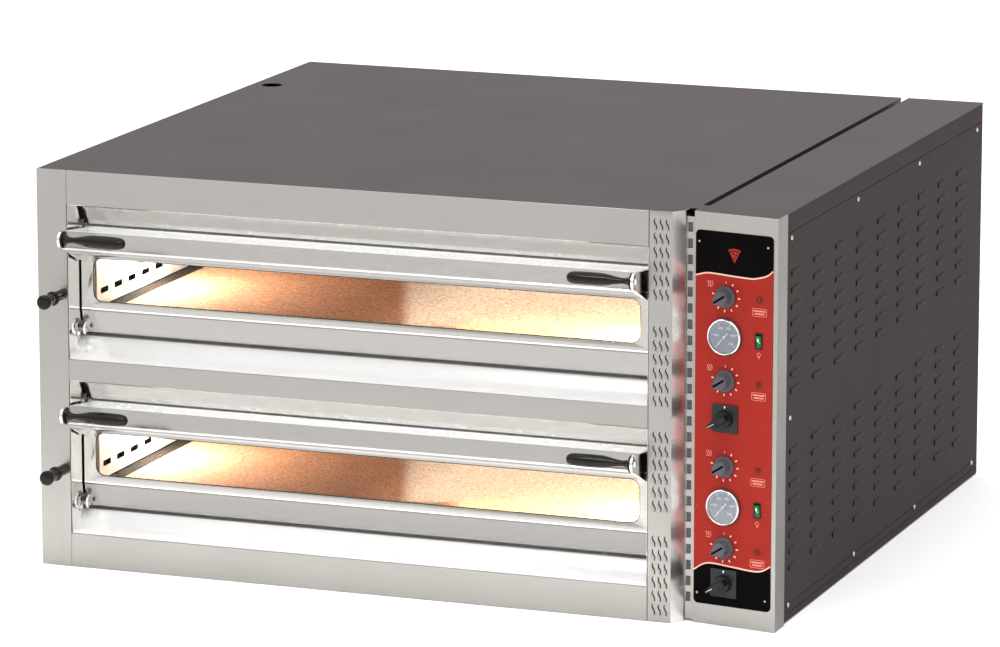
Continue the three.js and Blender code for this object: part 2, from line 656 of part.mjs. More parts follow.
function controlPlate() {
  const outline = roundedRectangle(PLATE.x0, PLATE.x1, PLATE.z0, PLATE.z1, PLATE.radius);
  const blank = prismY(outline, -GAP - PLATE.sheet, -GAP);
  return piece("control_plate", cut(blank, ...controlCutouts()), redPlate);
}

// drop-shaped pointer knob on its spindle, pointing up before it is turned
function thermostatKnob() {
  const skirt = turned([[0, 2], [18.5, 2], [18.5, 5], [16.5, 9], [0, 9]], 20);
  const drop = new THREE.Shape();
  drop.absarc(0, 0, 13.5, 145 * DEGREE, 395 * DEGREE, false);
  drop.lineTo(0, 21.5);
  const grip = prismY(drop, 8, 24);
  const spindle = rodY(3, -12, 3, 0, 0, 8);
  return join(skirt, grip, spindle);
}

// round knob with a lever that runs past its rim
function camKnob() {
  const skirt = turned([[0, 4.5], [15, 4.5], [15, 10], [13.5, 12], [0, 12]], 20);
  const bar = shapeOf([[-5.5, -13], [5.5, -13], [6, 14], [2, 29], [-2, 29], [-6, 14]]);
  const spindle = rodY(3, -12, 5, 0, 0, 8);
  return join(skirt, prismY(bar, 10, 25), spindle);
}

function gaugeCase() {
  return turned([[0, -30], [27, -30], [27, 1.4], [32, 1.4], [32, 7], [30.5, 9], [28.5, 9], [28, 3], [0, 3]], 28);
}

function gaugeNeedle() {
  const blade = shapeOf([[-1, -6], [1, -6], [0.4, 23], [-0.4, 23]]);
  const hub = rodY(2.6, 3.8, 5.6, 0, 0, 8);
  return join(prismY(blade, 4.2, 5), hub);
}

function rockerSwitch() {
  const side = shapeOf([[-4.6, 10.5], [-2.4, 0], [-4.6, -10.5], [7, -8.5], [7, 8.5]]);
  return prismX(side, -4.6, 4.6).translate(0, -3, 0).rotateX(ROCKER_TILT).translate(0, 3, 0);
}

function controls() {
  const group = new THREE.Group();
  group.position.set(...CONTROL_LEFT, 0);
  group.rotation.z = controlDirection;
  // pieces drawn pointing up and standing out along +Y are turned to face the front
  const turnable = (name, geometry, material, x, z, angle) => {
    const mesh = piece(name, geometry, material);
    mesh.position.set(x, 0, z);
    mesh.rotation.set(0, angle - Math.PI / 2, Math.PI, "ZYX");
    group.add(mesh);
  };
  group.add(controlPlate());
  for (const [name, z] of Object.entries(THERMOSTATS)) {
    turnable(`${name}_thermostat_knob`, thermostatKnob(), knobPlastic, THERMOSTAT_X, z, THERMOSTAT_ANGLE);
  }
  for (const [level, z] of Object.entries(CAMS)) {
    turnable(`${level}_switch_knob`, camKnob(), knobPlastic, CAM_X, z, SWITCH_ANGLE);
  }
  for (const [level, z] of Object.entries(GAUGES)) {
    turnable(`${level}_gauge_case`, gaugeCase(), polishedSteel, GAUGE_X, z, Math.PI / 2);
    turnable(`${level}_gauge_needle`, gaugeNeedle(), needleWhite, GAUGE_X, z, NEEDLE_ANGLE);
  }
  for (const [level, z] of Object.entries(ROCKERS)) {
    const rocker = piece(`${level}_rocker`, rockerSwitch(), rockerGreen);
    rocker.position.set(ROCKER_X, 0, z);
    group.add(rocker);
  }
  return group;
}

function cableGland() {
  const profile = [[7, -9], [10.5, -9], [10.5, GAP], [16, GAP], [16, 5], [12.5, 7], [11, 15], [7, 15], [7, -9]];
  const gland = piece("cable_gland", turned(profile, 16), knobPlastic);
  gland.position.set(GLAND.x, DEPTH, GLAND.z);
  return gland;
}

// ---- the whole oven ----
const oven = new THREE.Group();
oven.name = "pizza_oven";
oven.position.y = -DEPTH / 2;
oven.add(leftPillar());
oven.add(ventPillar());
oven.add(fascia("bottom_fascia", 0, DECKS.lower - GAP, BASE_TOP + 0.5));
oven.add(fascia("middle_fascia", DECKS.lower + RECESS_HEIGHT + GAP, DECKS.upper - GAP, 356.7));
oven.add(fascia("top_fascia", DECKS.upper + RECESS_HEIGHT + GAP, HEIGHT, COVER_UNDERSIDE - GAP - SHEET));
oven.add(basePanel());
oven.add(topCover());
oven.add(controlTopCover());
oven.add(leftSidePanel());
oven.add(rightSidePanel());
oven.add(bodyShell());
oven.add(controlShell());
oven.add(gapStrip());
oven.add(controlFront());
oven.add(cableGland());
oven.add(deck("lower"));
oven.add(deck("upper"));
oven.add(insulationBlock("insulation_middle", DECKS.lower + CHAMBER.z1 + 2 * SHEET, DECKS.upper + CHAMBER.z0 - 2 * SHEET));
oven.add(insulationBlock("insulation_top", DECKS.upper + CHAMBER.z1 + 2 * SHEET, COVER_UNDERSIDE - 3 * SHEET));
oven.add(controls());

export default oven;
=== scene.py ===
import json
from math import atan2, cos, pi, radians, sin, tan

import bmesh
import bpy
from mathutils import Matrix, Vector
from mathutils.geometry import tessellate_polygon


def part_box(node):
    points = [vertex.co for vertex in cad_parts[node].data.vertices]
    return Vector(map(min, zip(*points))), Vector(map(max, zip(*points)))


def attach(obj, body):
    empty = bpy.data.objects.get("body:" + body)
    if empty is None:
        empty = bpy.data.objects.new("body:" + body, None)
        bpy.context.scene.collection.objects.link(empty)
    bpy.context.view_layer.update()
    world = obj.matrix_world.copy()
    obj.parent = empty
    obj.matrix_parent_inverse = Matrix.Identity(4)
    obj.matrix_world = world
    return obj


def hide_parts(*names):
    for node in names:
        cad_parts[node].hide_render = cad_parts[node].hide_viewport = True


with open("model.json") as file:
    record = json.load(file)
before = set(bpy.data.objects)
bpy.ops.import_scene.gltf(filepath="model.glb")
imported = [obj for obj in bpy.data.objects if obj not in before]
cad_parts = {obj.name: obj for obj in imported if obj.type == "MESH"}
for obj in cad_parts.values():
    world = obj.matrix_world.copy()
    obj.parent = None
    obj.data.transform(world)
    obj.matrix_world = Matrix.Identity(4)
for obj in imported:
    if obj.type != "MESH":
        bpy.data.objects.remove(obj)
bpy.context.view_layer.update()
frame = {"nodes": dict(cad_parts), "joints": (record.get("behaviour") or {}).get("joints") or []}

# Sizes below are millimetres in local frames; every local frame scales them to the row's metres.
MM = 0.001
SHEET = 1.5
GAP = 0.3
WELD = 0.0005
LEVELS = ("lower", "upper")
SIDES = ("left", "right")
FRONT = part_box("left_pillar")[0].y
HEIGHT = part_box("left_pillar")[1].z / MM
JOINTS = {joint["name"]: joint for joint in frame["joints"]}

# front of the case
RECESS = (-628.0, 455.0)
CHAMFER = [(496.7, 0.0), (513.0, 23.4)]
PILLAR_RETURN = 12.0
VENT_COLUMNS = (466.5, 477.3, 488.1)
VENT_GROUPS = (82.0, 264.5, 448.0, 633.0)
VENT_PITCH = 24.1
VENT_HEIGHT = 19.5

# a deck, in heights above its sill edge and depths behind the front
RECESS_HEIGHT = 277.0
RECESS_DEPTH = 98.7
SLOPE_DEPTH = 59.0
SILL_RISE = 32.0
DEFLECTOR_Z = 234.5
DOOR = (-623.5, 450.5)
DOOR_OUTLINE = [(92, 38), (58, 38), (50, 82), (50, 186), (61, 218), (68, 229), (92, 222)]
WINDOW = (-601.5, 424.3, 96.0, 175.0)
WINDOW_RADIUS = 18.0
DOOR_FACE = 50.0
FOLD = 3.0
PIVOT = (46.0, 45.0)
EAR = (-43.0, 223.5, 15.5)
ARM_ROOT_Z = 165.0
ARM_INSET = 3.3
ARM_SHEET = 5
LUG_INSET = 6.5
LUG_SHEET = 4
LUG_OUTLINE = [(40, 54), (38, 50), (41, 37), (58, 37), (58.6, 40), (54.6, 62), (50, 62), (40, 54)]
BEAD_STEPS = 10
CHAMBER = (-618.0, 446.0)
STONE_TOP = 74.0
PANEL_INSET = 0.9
REAR_PLATE = (-560.0, 380.0, 90.0, 620.0)
STEAM_SLOT = {"first": 134.0, "pitch": 59.5, "count": 15, "size": (26.0, 9.0), "z": 101.0}
LAMPS = {"left": (-612.0, 300.0, 150.0), "right": (440.0, 190.0, 150.0)}

# controls, along the tilted front from its left edge and up
PLATE = (3.0, 150.0, 35.0, 685.0)
PLATE_RADIUS = 8.0
PLATE_FACE = 1.1
THERMOSTATS = {"upper_front": 574.0, "upper_rear": 429.0, "lower_front": 280.0, "lower_rear": 138.0}
THERMOSTAT_X = 61.0
GAUGES = {"upper": 505.0, "lower": 209.0}
GAUGE_X = 60.0
CAMS = {"upper": 363.0, "lower": 75.5}
CAM_X = 61.5
ROCKERS = {"upper": 504.0, "lower": 210.5}
ROCKER_X = 124.0
LAMP_X = 124.5
PLATE_SCREWS_Z = (665.3, 511.0, 357.0, 205.7, 53.6)
PLATE_SCREWS_X = (10.0, 140.0)
THERMOSTAT_ANGLE = radians(213)
SWITCH_ANGLE = radians(210)
NEEDLE_ANGLE = radians(228)

# ---- local frames ----
CASE = Matrix.Translation((0, FRONT, 0)) @ Matrix.Scale(MM, 4)
OUTWARD = Matrix.Rotation(pi / 2, 4, "X")
SIDEWAYS = Matrix(((0, 0, 1, 0), (1, 0, 0, 0), (0, 1, 0, 0), (0, 0, 0, 1)))


def deck_frame(level):
    below = {"lower": "bottom_fascia", "upper": "middle_fascia"}[level]
    return Matrix.Translation((0, FRONT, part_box(below)[1].z + GAP * MM)) @ Matrix.Scale(MM, 4)


def control_frame():
    """X along the control front, Y into it, Z up, in millimetres."""
    joint = JOINTS["upper_needle_turn"]
    inward = Vector(joint["axis"])
    along = Vector((inward.y, -inward.x, 0))
    corner = Vector(joint["pos_m"]) - along * GAUGE_X * MM
    turn = Matrix((along, inward, (0, 0, 1))).transposed().to_4x4()
    return Matrix.Translation((corner.x, corner.y, 0)) @ turn @ Matrix.Scale(MM, 4)


DECK = {level: deck_frame(level) for level in LEVELS}
CONTROL = control_frame()
PANEL = CONTROL @ OUTWARD


# ---- materials ----
class Paint:
    """A Principled material whose patterns are laid out in object coordinates, in metres."""

    def __init__(self, name, **sockets):
        self.material = bpy.data.materials.new(name)
        self.material.use_nodes = True
        self.tree = self.material.node_tree
        self.shader = self.tree.nodes["Principled BSDF"]
        for socket, value in sockets.items():
            self.shader.inputs[socket.replace("_", " ")].default_value = value
        coordinates = self.node("ShaderNodeTexCoord")
        self.where = coordinates.outputs["Object"]
        self.facing = coordinates.outputs["Normal"]

    def node(self, kind, **inputs):
        node = self.tree.nodes.new(kind)
        for name, value in inputs.items():
            socket = node.inputs[name.replace("_", " ")]
            if isinstance(value, bpy.types.NodeSocket):
                self.tree.links.new(value, socket)
            else:
                socket.default_value = value
        return node

    def stretched(self, scale):
        return self.node("ShaderNodeMapping", Vector=self.where, Scale=scale).outputs["Vector"]

    def noise(self, scale, detail=4.0, roughness=0.55, distortion=0.0):
        """Noise with `scale` features per metre, or one figure for each axis."""
        if isinstance(scale, (int, float)):
            scale = (scale, scale, scale)
        return self.node("ShaderNodeTexNoise", Vector=self.stretched(scale), Scale=1.0, Detail=detail,
                         Roughness=roughness, Distortion=distortion).outputs["Fac"]

    def cells(self, scale):
        return self.node("ShaderNodeTexVoronoi", Vector=self.where, Scale=scale).outputs["Distance"]

    def spread(self, value, low, high, start=0.3, end=0.7):
        return self.node("ShaderNodeMapRange", Value=value, From_Min=start, From_Max=end, To_Min=low,
                         To_Max=high).outputs["Result"]

    def mix(self, share, first, second, blend="MIX"):
        node = self.tree.nodes.new("ShaderNodeMix")
        node.data_type = "RGBA"
        node.blend_type = blend
        for socket, value in ((node.inputs[0], share), (node.inputs[6], first), (node.inputs[7], second)):
            if isinstance(value, bpy.types.NodeSocket):
                self.tree.links.new(value, socket)
            else:
                socket.default_value = value
        return node.outputs[2]

    def bump(self, height, depth_mm, strength=1.0):
        """Adds relief of that depth on top of what is there."""
        node = self.node("ShaderNodeBump", Height=height, Strength=strength, Distance=depth_mm * MM)
        normal = self.shader.inputs["Normal"]
        if normal.links:
            self.tree.links.new(normal.links[0].from_socket, node.inputs["Normal"])
        self.tree.links.new(node.outputs["Normal"], normal)

    def drive(self, socket, value):
        self.tree.links.new(value, self.shader.inputs[socket])


def tone(colour, factor=1.0):
    return tuple(min(1.0, part * factor) for part in colour) + (1.0,)


def surface(name, colour, roughness, tint=0.08, patches=9.0, grain=700.0, depth=0.02, spots=0.0, **sockets):
    """Colour drifts by `tint` in soft patches; a fine grain moves the gloss and relief of `depth` mm."""
    paint = Paint(name, **sockets)
    drift = paint.spread(paint.noise(patches, 5.0), 0.0, 1.0)
    shade = paint.mix(drift, tone(colour, 1 - tint), tone(colour, 1 + tint))
    fine = paint.noise(grain, 3.0, 0.6)
    if spots:
        speck = paint.spread(paint.noise(260.0, 2.0, 0.7), 0.0, spots, 0.62, 0.74)
        shade = paint.mix(speck, shade, tone(colour, 1.6))
    paint.drive("Base Color", shade)
    low, high = roughness * 0.82, min(1.0, roughness * 1.22)
    smudge = paint.spread(paint.noise(patches * 3, 4.0, 0.65), low, high)
    paint.drive("Roughness", smudge)
    paint.bump(fine, depth)
    return paint.material


def brushed(name, colour, roughness, along, tint=0.05, side=1.0):
    """Steel with long fine scratches along one axis; `side` scales the colour of faces that look along +X, as
    painted shade on that side.
    """
    paint = Paint(name, Metallic=1.0, Anisotropic=0.35)
    across, lengthwise = 1700.0, 9.0
    scale = [across, across, across]
    scale["XYZ".index(along)] = lengthwise
    streaks = paint.noise(tuple(scale), 3.0, 0.7)
    broad = [140.0, 140.0, 140.0]
    broad["XYZ".index(along)] = 1.5
    bands = paint.noise(tuple(broad), 2.0)
    smudge = paint.noise(7.0, 5.0, 0.6)
    shade = paint.mix(paint.spread(streaks, 0.0, 1.0), tone(colour, 1 - tint), tone(colour, 1 + tint))
    shade = paint.mix(paint.spread(bands, 0.0, 0.35), shade, tone(colour, 1 - tint))
    # painted shade: faces that look along +X get their colour scaled by `side`
    if side != 1.0:
        facing = paint.node("ShaderNodeSeparateXYZ", Vector=paint.facing).outputs["X"]
        shade = paint.mix(paint.spread(facing, 0.0, 1.0, 0.6, 0.9), shade, tone(colour, side))
    paint.drive("Base Color", shade)
    paint.drive("Roughness", paint.spread(smudge, roughness * 0.85, roughness * 1.2))
    paint.bump(streaks, 0.004)
    return paint.material


def polished(name, colour, roughness, ripple=0.05, metallic=1.0, below=1.0):
    """Bright folded sheet with slow ripples and faint wipe marks; `below` scales the colour of faces that
    look down, as painted shade under them.
    """
    paint = Paint(name, Metallic=metallic)
    marks = paint.noise((30.0, 90.0, 90.0), 5.0, 0.7, 0.6)
    shade = paint.mix(paint.spread(marks, 0.0, 1.0), tone(colour, 0.96), tone(colour, 1.03))
    # painted shade: faces that look down get their colour scaled by `below`
    if below != 1.0:
        facing = paint.node("ShaderNodeSeparateXYZ", Vector=paint.facing).outputs["Z"]
        shade = paint.mix(paint.spread(facing, 0.0, 1.0, -0.15, -0.04), tone(colour, below), shade)
    paint.drive("Base Color", shade)
    paint.drive("Roughness", paint.spread(marks, roughness * 0.7, roughness * 1.5))
    paint.bump(paint.noise((5.0, 9.0, 9.0), 2.0), ripple * 20, 0.25)
    paint.bump(paint.noise((60.0, 1500.0, 1500.0), 2.0), 0.002)
    return paint.material


def painted(name, colour, roughness, specular):
    """Baked paint: orange peel, faint dust, and rubbed edges."""
    paint = Paint(name, Specular_IOR_Level=specular)
    drift = paint.noise(3.0, 6.0, 0.6)
    shade = paint.mix(paint.spread(drift, 0.0, 1.0), tone(colour, 0.97), tone(colour, 1.03))
    dust = paint.spread(paint.noise(900.0, 2.0, 0.8), 0.0, 0.15, 0.6, 0.8)
    shade = paint.mix(dust, shade, tone(colour, 1.6))
    edge = paint.node("ShaderNodeBevel", Radius=1.2 * MM)
    geometry = paint.node("ShaderNodeNewGeometry")
    turned = paint.node("ShaderNodeVectorMath")
    turned.operation = "DOT_PRODUCT"
    paint.tree.links.new(edge.outputs["Normal"], turned.inputs[0])
    paint.tree.links.new(geometry.outputs["Normal"], turned.inputs[1])
    rubbed = paint.spread(turned.outputs["Value"], 0.45, 0.0, 0.8, 0.97)
    paint.drive("Base Color", paint.mix(rubbed, shade, tone(colour, 2.2)))
    paint.drive("Roughness", paint.spread(paint.noise(6.0, 6.0), roughness * 0.96, roughness * 1.04))
    paint.bump(paint.noise(420.0, 2.0), 0.02)
    return paint.material


def two_tone_sheet(name, middle, ends, limits):
    """Satin plate in one colour between two heights, in metres, and another beyond them."""
    paint = Paint(name, Specular_IOR_Level=0.06)
    height = paint.node("ShaderNodeSeparateXYZ", Vector=paint.where).outputs["Z"]
    drift = paint.spread(paint.noise(12.0, 5.0), 0.0, 1.0)
    shade = paint.mix(drift, tone(middle, 0.95), tone(middle, 1.05))
    shade = paint.mix(paint.spread(height, 0.0, 1.0, limits[1], limits[1] + MM), shade, tone(ends))
    shade = paint.mix(paint.spread(height, 0.0, 1.0, limits[0], limits[0] - MM), shade, tone(ends))
    paint.drive("Base Color", shade)
    paint.drive("Roughness", paint.spread(paint.noise(36.0, 4.0), 0.34, 0.48))
    paint.bump(paint.noise(900.0, 3.0), 0.006)
    return paint.material


def refractory():
    """Sandy baked stone with dark and pale grains, pits, scorched patches, and a band of painted shade across
    X.
    """
    paint = Paint("refractory_stone", Specular_IOR_Level=0.25)
    sand, pale = (0.58, 0.31, 0.18), (0.78, 0.50, 0.33)
    dark, scorched = (0.30, 0.13, 0.07), (0.44, 0.21, 0.12)
    base = paint.mix(paint.spread(paint.noise(14.0, 6.0), 0.0, 0.5), tone(sand), tone(scorched))
    grains = paint.noise(210.0, 4.0, 0.75)
    base = paint.mix(paint.spread(grains, 0.0, 0.9, 0.50, 0.60), base, tone(pale))
    base = paint.mix(paint.spread(paint.noise(170.0, 4.0, 0.75), 0.0, 0.9, 0.50, 0.60), base, tone(dark))
    # painted shade: a band of the stone across X, left of the veil light's patch, is darkened
    across = paint.node("ShaderNodeSeparateXYZ", Vector=paint.where).outputs["X"]
    shade_band = paint.node("ShaderNodeMath")
    shade_band.operation = "MULTIPLY"
    for socket, limits in enumerate(((-0.46, -0.22), (-0.04, -0.15))):
        paint.tree.links.new(paint.spread(across, 0.0, 1.0, *limits), shade_band.inputs[socket])
    base = paint.mix(shade_band.outputs[0], base, tone((0.62, 0.58, 0.56)), "MULTIPLY")
    paint.drive("Base Color", base)
    paint.drive("Roughness", paint.spread(grains, 0.72, 0.98))
    paint.bump(grains, 0.35, 0.8)
    paint.bump(paint.cells(120.0), 0.5, 0.35)
    return paint.material


def scaled_rod():
    paint = Paint("oxidised_rod", Metallic=0.7)
    scale = paint.noise(160.0, 6.0, 0.7)
    paint.drive("Base Color", paint.mix(paint.spread(scale, 0.0, 1.0), tone((0.10, 0.08, 0.07)),
                                        tone((0.30, 0.22, 0.17))))
    paint.drive("Roughness", paint.spread(scale, 0.5, 0.85))
    paint.bump(scale, 0.15)
    return paint.material


def wool():
    paint = Paint("mineral_wool", Specular_IOR_Level=0.1, Sheen_Weight=0.4)
    fibres = paint.noise((60.0, 900.0, 900.0), 6.0, 0.75, 1.5)
    paint.drive("Base Color", paint.mix(paint.spread(fibres, 0.0, 1.0), tone((0.52, 0.47, 0.33)),
                                        tone((0.80, 0.75, 0.60))))
    paint.drive("Roughness", paint.spread(fibres, 0.85, 1.0))
    paint.bump(fibres, 3.0, 0.7)
    return paint.material


def clear(name, colour, share):
    """Thin clear glass: mostly see-through, with a mirror layer that grows at grazing angles."""
    paint = Paint(name, Base_Color=tone(colour))
    tree = paint.tree
    tree.nodes.remove(paint.shader)
    through = paint.node("ShaderNodeBsdfTransparent", Color=tone(colour))
    smear = paint.spread(paint.noise(5.0, 6.0, 0.65, 0.8), 0.01, 0.05)
    mirror = paint.node("ShaderNodeBsdfGlossy", Color=tone((1, 1, 1)), Roughness=smear)
    fresnel = paint.node("ShaderNodeFresnel", IOR=1.5)
    scaled = paint.spread(fresnel.outputs["Fac"], share, 1.0, 0.05, 1.0)
    mixed = paint.node("ShaderNodeMixShader", Fac=scaled)
    tree.links.new(through.outputs[0], mixed.inputs[1])
    tree.links.new(mirror.outputs[0], mixed.inputs[2])
    tree.links.new(mixed.outputs[0], tree.nodes["Material Output"].inputs["Surface"])
    return paint.material


STEEL_TONE = (0.345, 0.33, 0.312)
RED_TONE = (0.285, 0.021, 0.014)
BRUSHED_Z = brushed("brushed_steel_upright", STEEL_TONE, 0.34, "Z")
# the control front's brushed steel, with painted shade on its faces that look along +X
CONTROL_STEEL_SHADED_SIDE = brushed("brushed_steel_control_shaded_side", STEEL_TONE, 0.34, "Z", side=0.5)
BRUSHED_X = brushed("brushed_steel_level", STEEL_TONE, 0.34, "X")
POLISHED = polished("polished_steel", (0.90, 0.89, 0.87), 0.10)
# the door's sheet, with painted shade on the faces that look down
DOOR_STEEL_SHADED_BELOW = polished("door_steel_shaded_below", (0.46, 0.445, 0.425), 0.16, 0.03, below=0.62)
MILL = brushed("mill_finish_sheet", (0.46, 0.45, 0.43), 0.42, "Y")
CHAMBER_STEEL = surface("chamber_lining", (0.86, 0.84, 0.80), 0.55, 0.05, 6.0, 300.0, 0.03, Metallic=0.15)
# a smoother, brighter copy of the upright brushed steel for the pillar's chamfer; its brightness is painted
# light
CHAMFER_LIT_STEEL = brushed("brushed_steel_chamfer_lit_copy", (0.74, 0.72, 0.70), 0.2, "Z")
# a darker copy of the polished sheet for the deflector: painted shade
DEFLECTOR_SHADED_STEEL = polished("deflector_steel_shaded_copy", (0.72, 0.71, 0.69), 0.12)
# a near-white copy of the door sheet for the fold rolls and the top fold: painted highlight lines
FOLD_HIGHLIGHT_STEEL = polished("fold_painted_highlight", (0.98, 0.975, 0.97), 0.22, 0.01, 0.3)
# a near-white, partly diffuse copy of the polished sheet for the sill: painted reflection
SILL_LIT_STEEL = polished("sill_steel_lit_copy", (0.97, 0.965, 0.96), 0.14, 0.05, 0.4)
DARK_SHEET = painted("baked_paint", (0.042, 0.029, 0.032), 0.5, 0.17)
# a darker, matter copy of the case paint for the side panels: painted shade
SIDE_SHEET_SHADED = painted("baked_paint_shaded_side", (0.037, 0.027, 0.0275), 0.65, 0.05)
# near-black sheet: soot on dampers and ducts, and painted shade where it shows behind slots and in gaps
SOOT_AND_SHADE = surface("soot_and_painted_shade", (0.0004, 0.0003, 0.0003), 0.9, 0.1, 20.0, 300.0, 0.04, Specular_IOR_Level=0.0)
STONE_EDGE = surface("dark_stone_edge", (0.021, 0.0165, 0.014), 0.75, 0.15, 40.0, 400.0, 0.05,
                     Specular_IOR_Level=0.02)
GASKET = surface("grey_gasket", (0.16, 0.155, 0.15), 0.6, 0.1, 60.0, 900.0, 0.05, Specular_IOR_Level=0.2)
# grey-black sheet seen through the gap strip's holes: painted shade
GAP_SHADE_SHEET = surface("gap_shade_backing", (0.10, 0.098, 0.092), 0.9, 0.1, 60.0, 900.0, 0.05, Specular_IOR_Level=0.05)
STONE = refractory()
ROD = scaled_rod()
WOOL = wool()
BAKELITE = surface("bakelite", (0.005, 0.0042, 0.0035), 0.09, 0.25, 30.0, 220.0, 0.01,
                   Specular_IOR_Level=0.22)
MOULDED = surface("moulded_plastic", (0.066, 0.067, 0.080), 0.42, 0.15, 40.0, 1500.0, 0.03,
                  Specular_IOR_Level=0.3)
SWITCH_PLASTIC = surface("switch_plastic", (0.014, 0.017, 0.017), 0.4, 0.15, 40.0, 1500.0, 0.03,
                         Specular_IOR_Level=0.25)
BLACK_PLASTIC = surface("black_plastic", (0.006, 0.006, 0.006), 0.34, 0.2, 40.0, 1200.0, 0.02,
                        Specular_IOR_Level=0.25)
RED_PLATE = surface("red_print", RED_TONE, 0.40, 0.05, 12.0, 900.0, 0.006, Specular_IOR_Level=0.12)
PLATE_SHEET = two_tone_sheet("control_sheet", RED_TONE, (0.0025, 0.0022, 0.0022), (0.09, 0.632))
BLACK_PRINT = surface("black_print", (0.0022, 0.0018, 0.0018), 0.45, 0.15, 18.0, 900.0, 0.006,
                      Specular_IOR_Level=0.02)
PALE_PRINT = surface("pale_print", (0.84, 0.46, 0.37), 0.40, 0.06, 30.0, 1200.0, 0.006)
PINK_PRINT = surface("pink_print", (0.66, 0.22, 0.16), 0.40, 0.06, 30.0, 1200.0, 0.006)
WHITE_PRINT = surface("white_print", (0.82, 0.80, 0.78), 0.40, 0.05, 40.0, 1500.0, 0.004)
CHROME = polished("chrome", (0.78, 0.78, 0.78), 0.06, 0.005)
SCREW_STEEL = surface("zinc_screw", (0.55, 0.54, 0.52), 0.30, 0.12, 90.0, 1400.0, 0.02, Metallic=1.0)
BLACK_SCREW = surface("black_screw", (0.05, 0.045, 0.04), 0.35, 0.2, 90.0, 1400.0, 0.02, Metallic=0.8)
DIAL = surface("dial_face", (0.20, 0.25, 0.33), 0.45, 0.05, 60.0, 1500.0, 0.004)
# black rubber for the window seals, and for a ring round each gauge bezel that is painted shadow
BLACK_SEAL_AND_SHADE = surface("black_seal_and_painted_shade", (0.02, 0.018, 0.017), 0.7, 0.15, 60.0, 900.0, 0.05)
RED_LENS = surface("red_lens", (0.11, 0.012, 0.008), 0.2, 0.15, 120.0, 900.0, 0.01, Specular_IOR_Level=0.2)
LENS_RING = surface("lens_ring", (0.14, 0.018, 0.012), 0.5, 0.2, 60.0, 900.0, 0.01, Specular_IOR_Level=0.1)
DULL_SCREW = surface("dull_screw", (0.30, 0.06, 0.035), 0.45, 0.25, 120.0, 900.0, 0.02, Metallic=0.5)
GREEN_LENS = surface("green_lens", (0.012, 0.10, 0.03), 0.3, 0.15, 120.0, 900.0, 0.01,
                     Specular_IOR_Level=0.2,
                     Emission_Color=(0.05, 0.5, 0.12, 1.0), Emission_Strength=0.03)
LIT_WINDOW = surface("lit_window", (0.45, 0.85, 0.50), 0.35, 0.1, 200.0, 900.0, 0.01,
                     Emission_Color=(0.4, 1.0, 0.5, 1.0), Emission_Strength=0.15)
LAMP_LENS = surface("lamp_lens", (0.95, 0.85, 0.65), 0.25, 0.05, 60.0, 400.0, 0.05,
                    Emission_Color=(1.0, 0.92, 0.72, 1.0), Emission_Strength=3.0)
GLASS = clear("oven_glass", (0.99, 0.985, 0.97), 0.004)
GAUGE_GLASS = clear("gauge_glass", (1.0, 1.0, 1.0), 0.05)


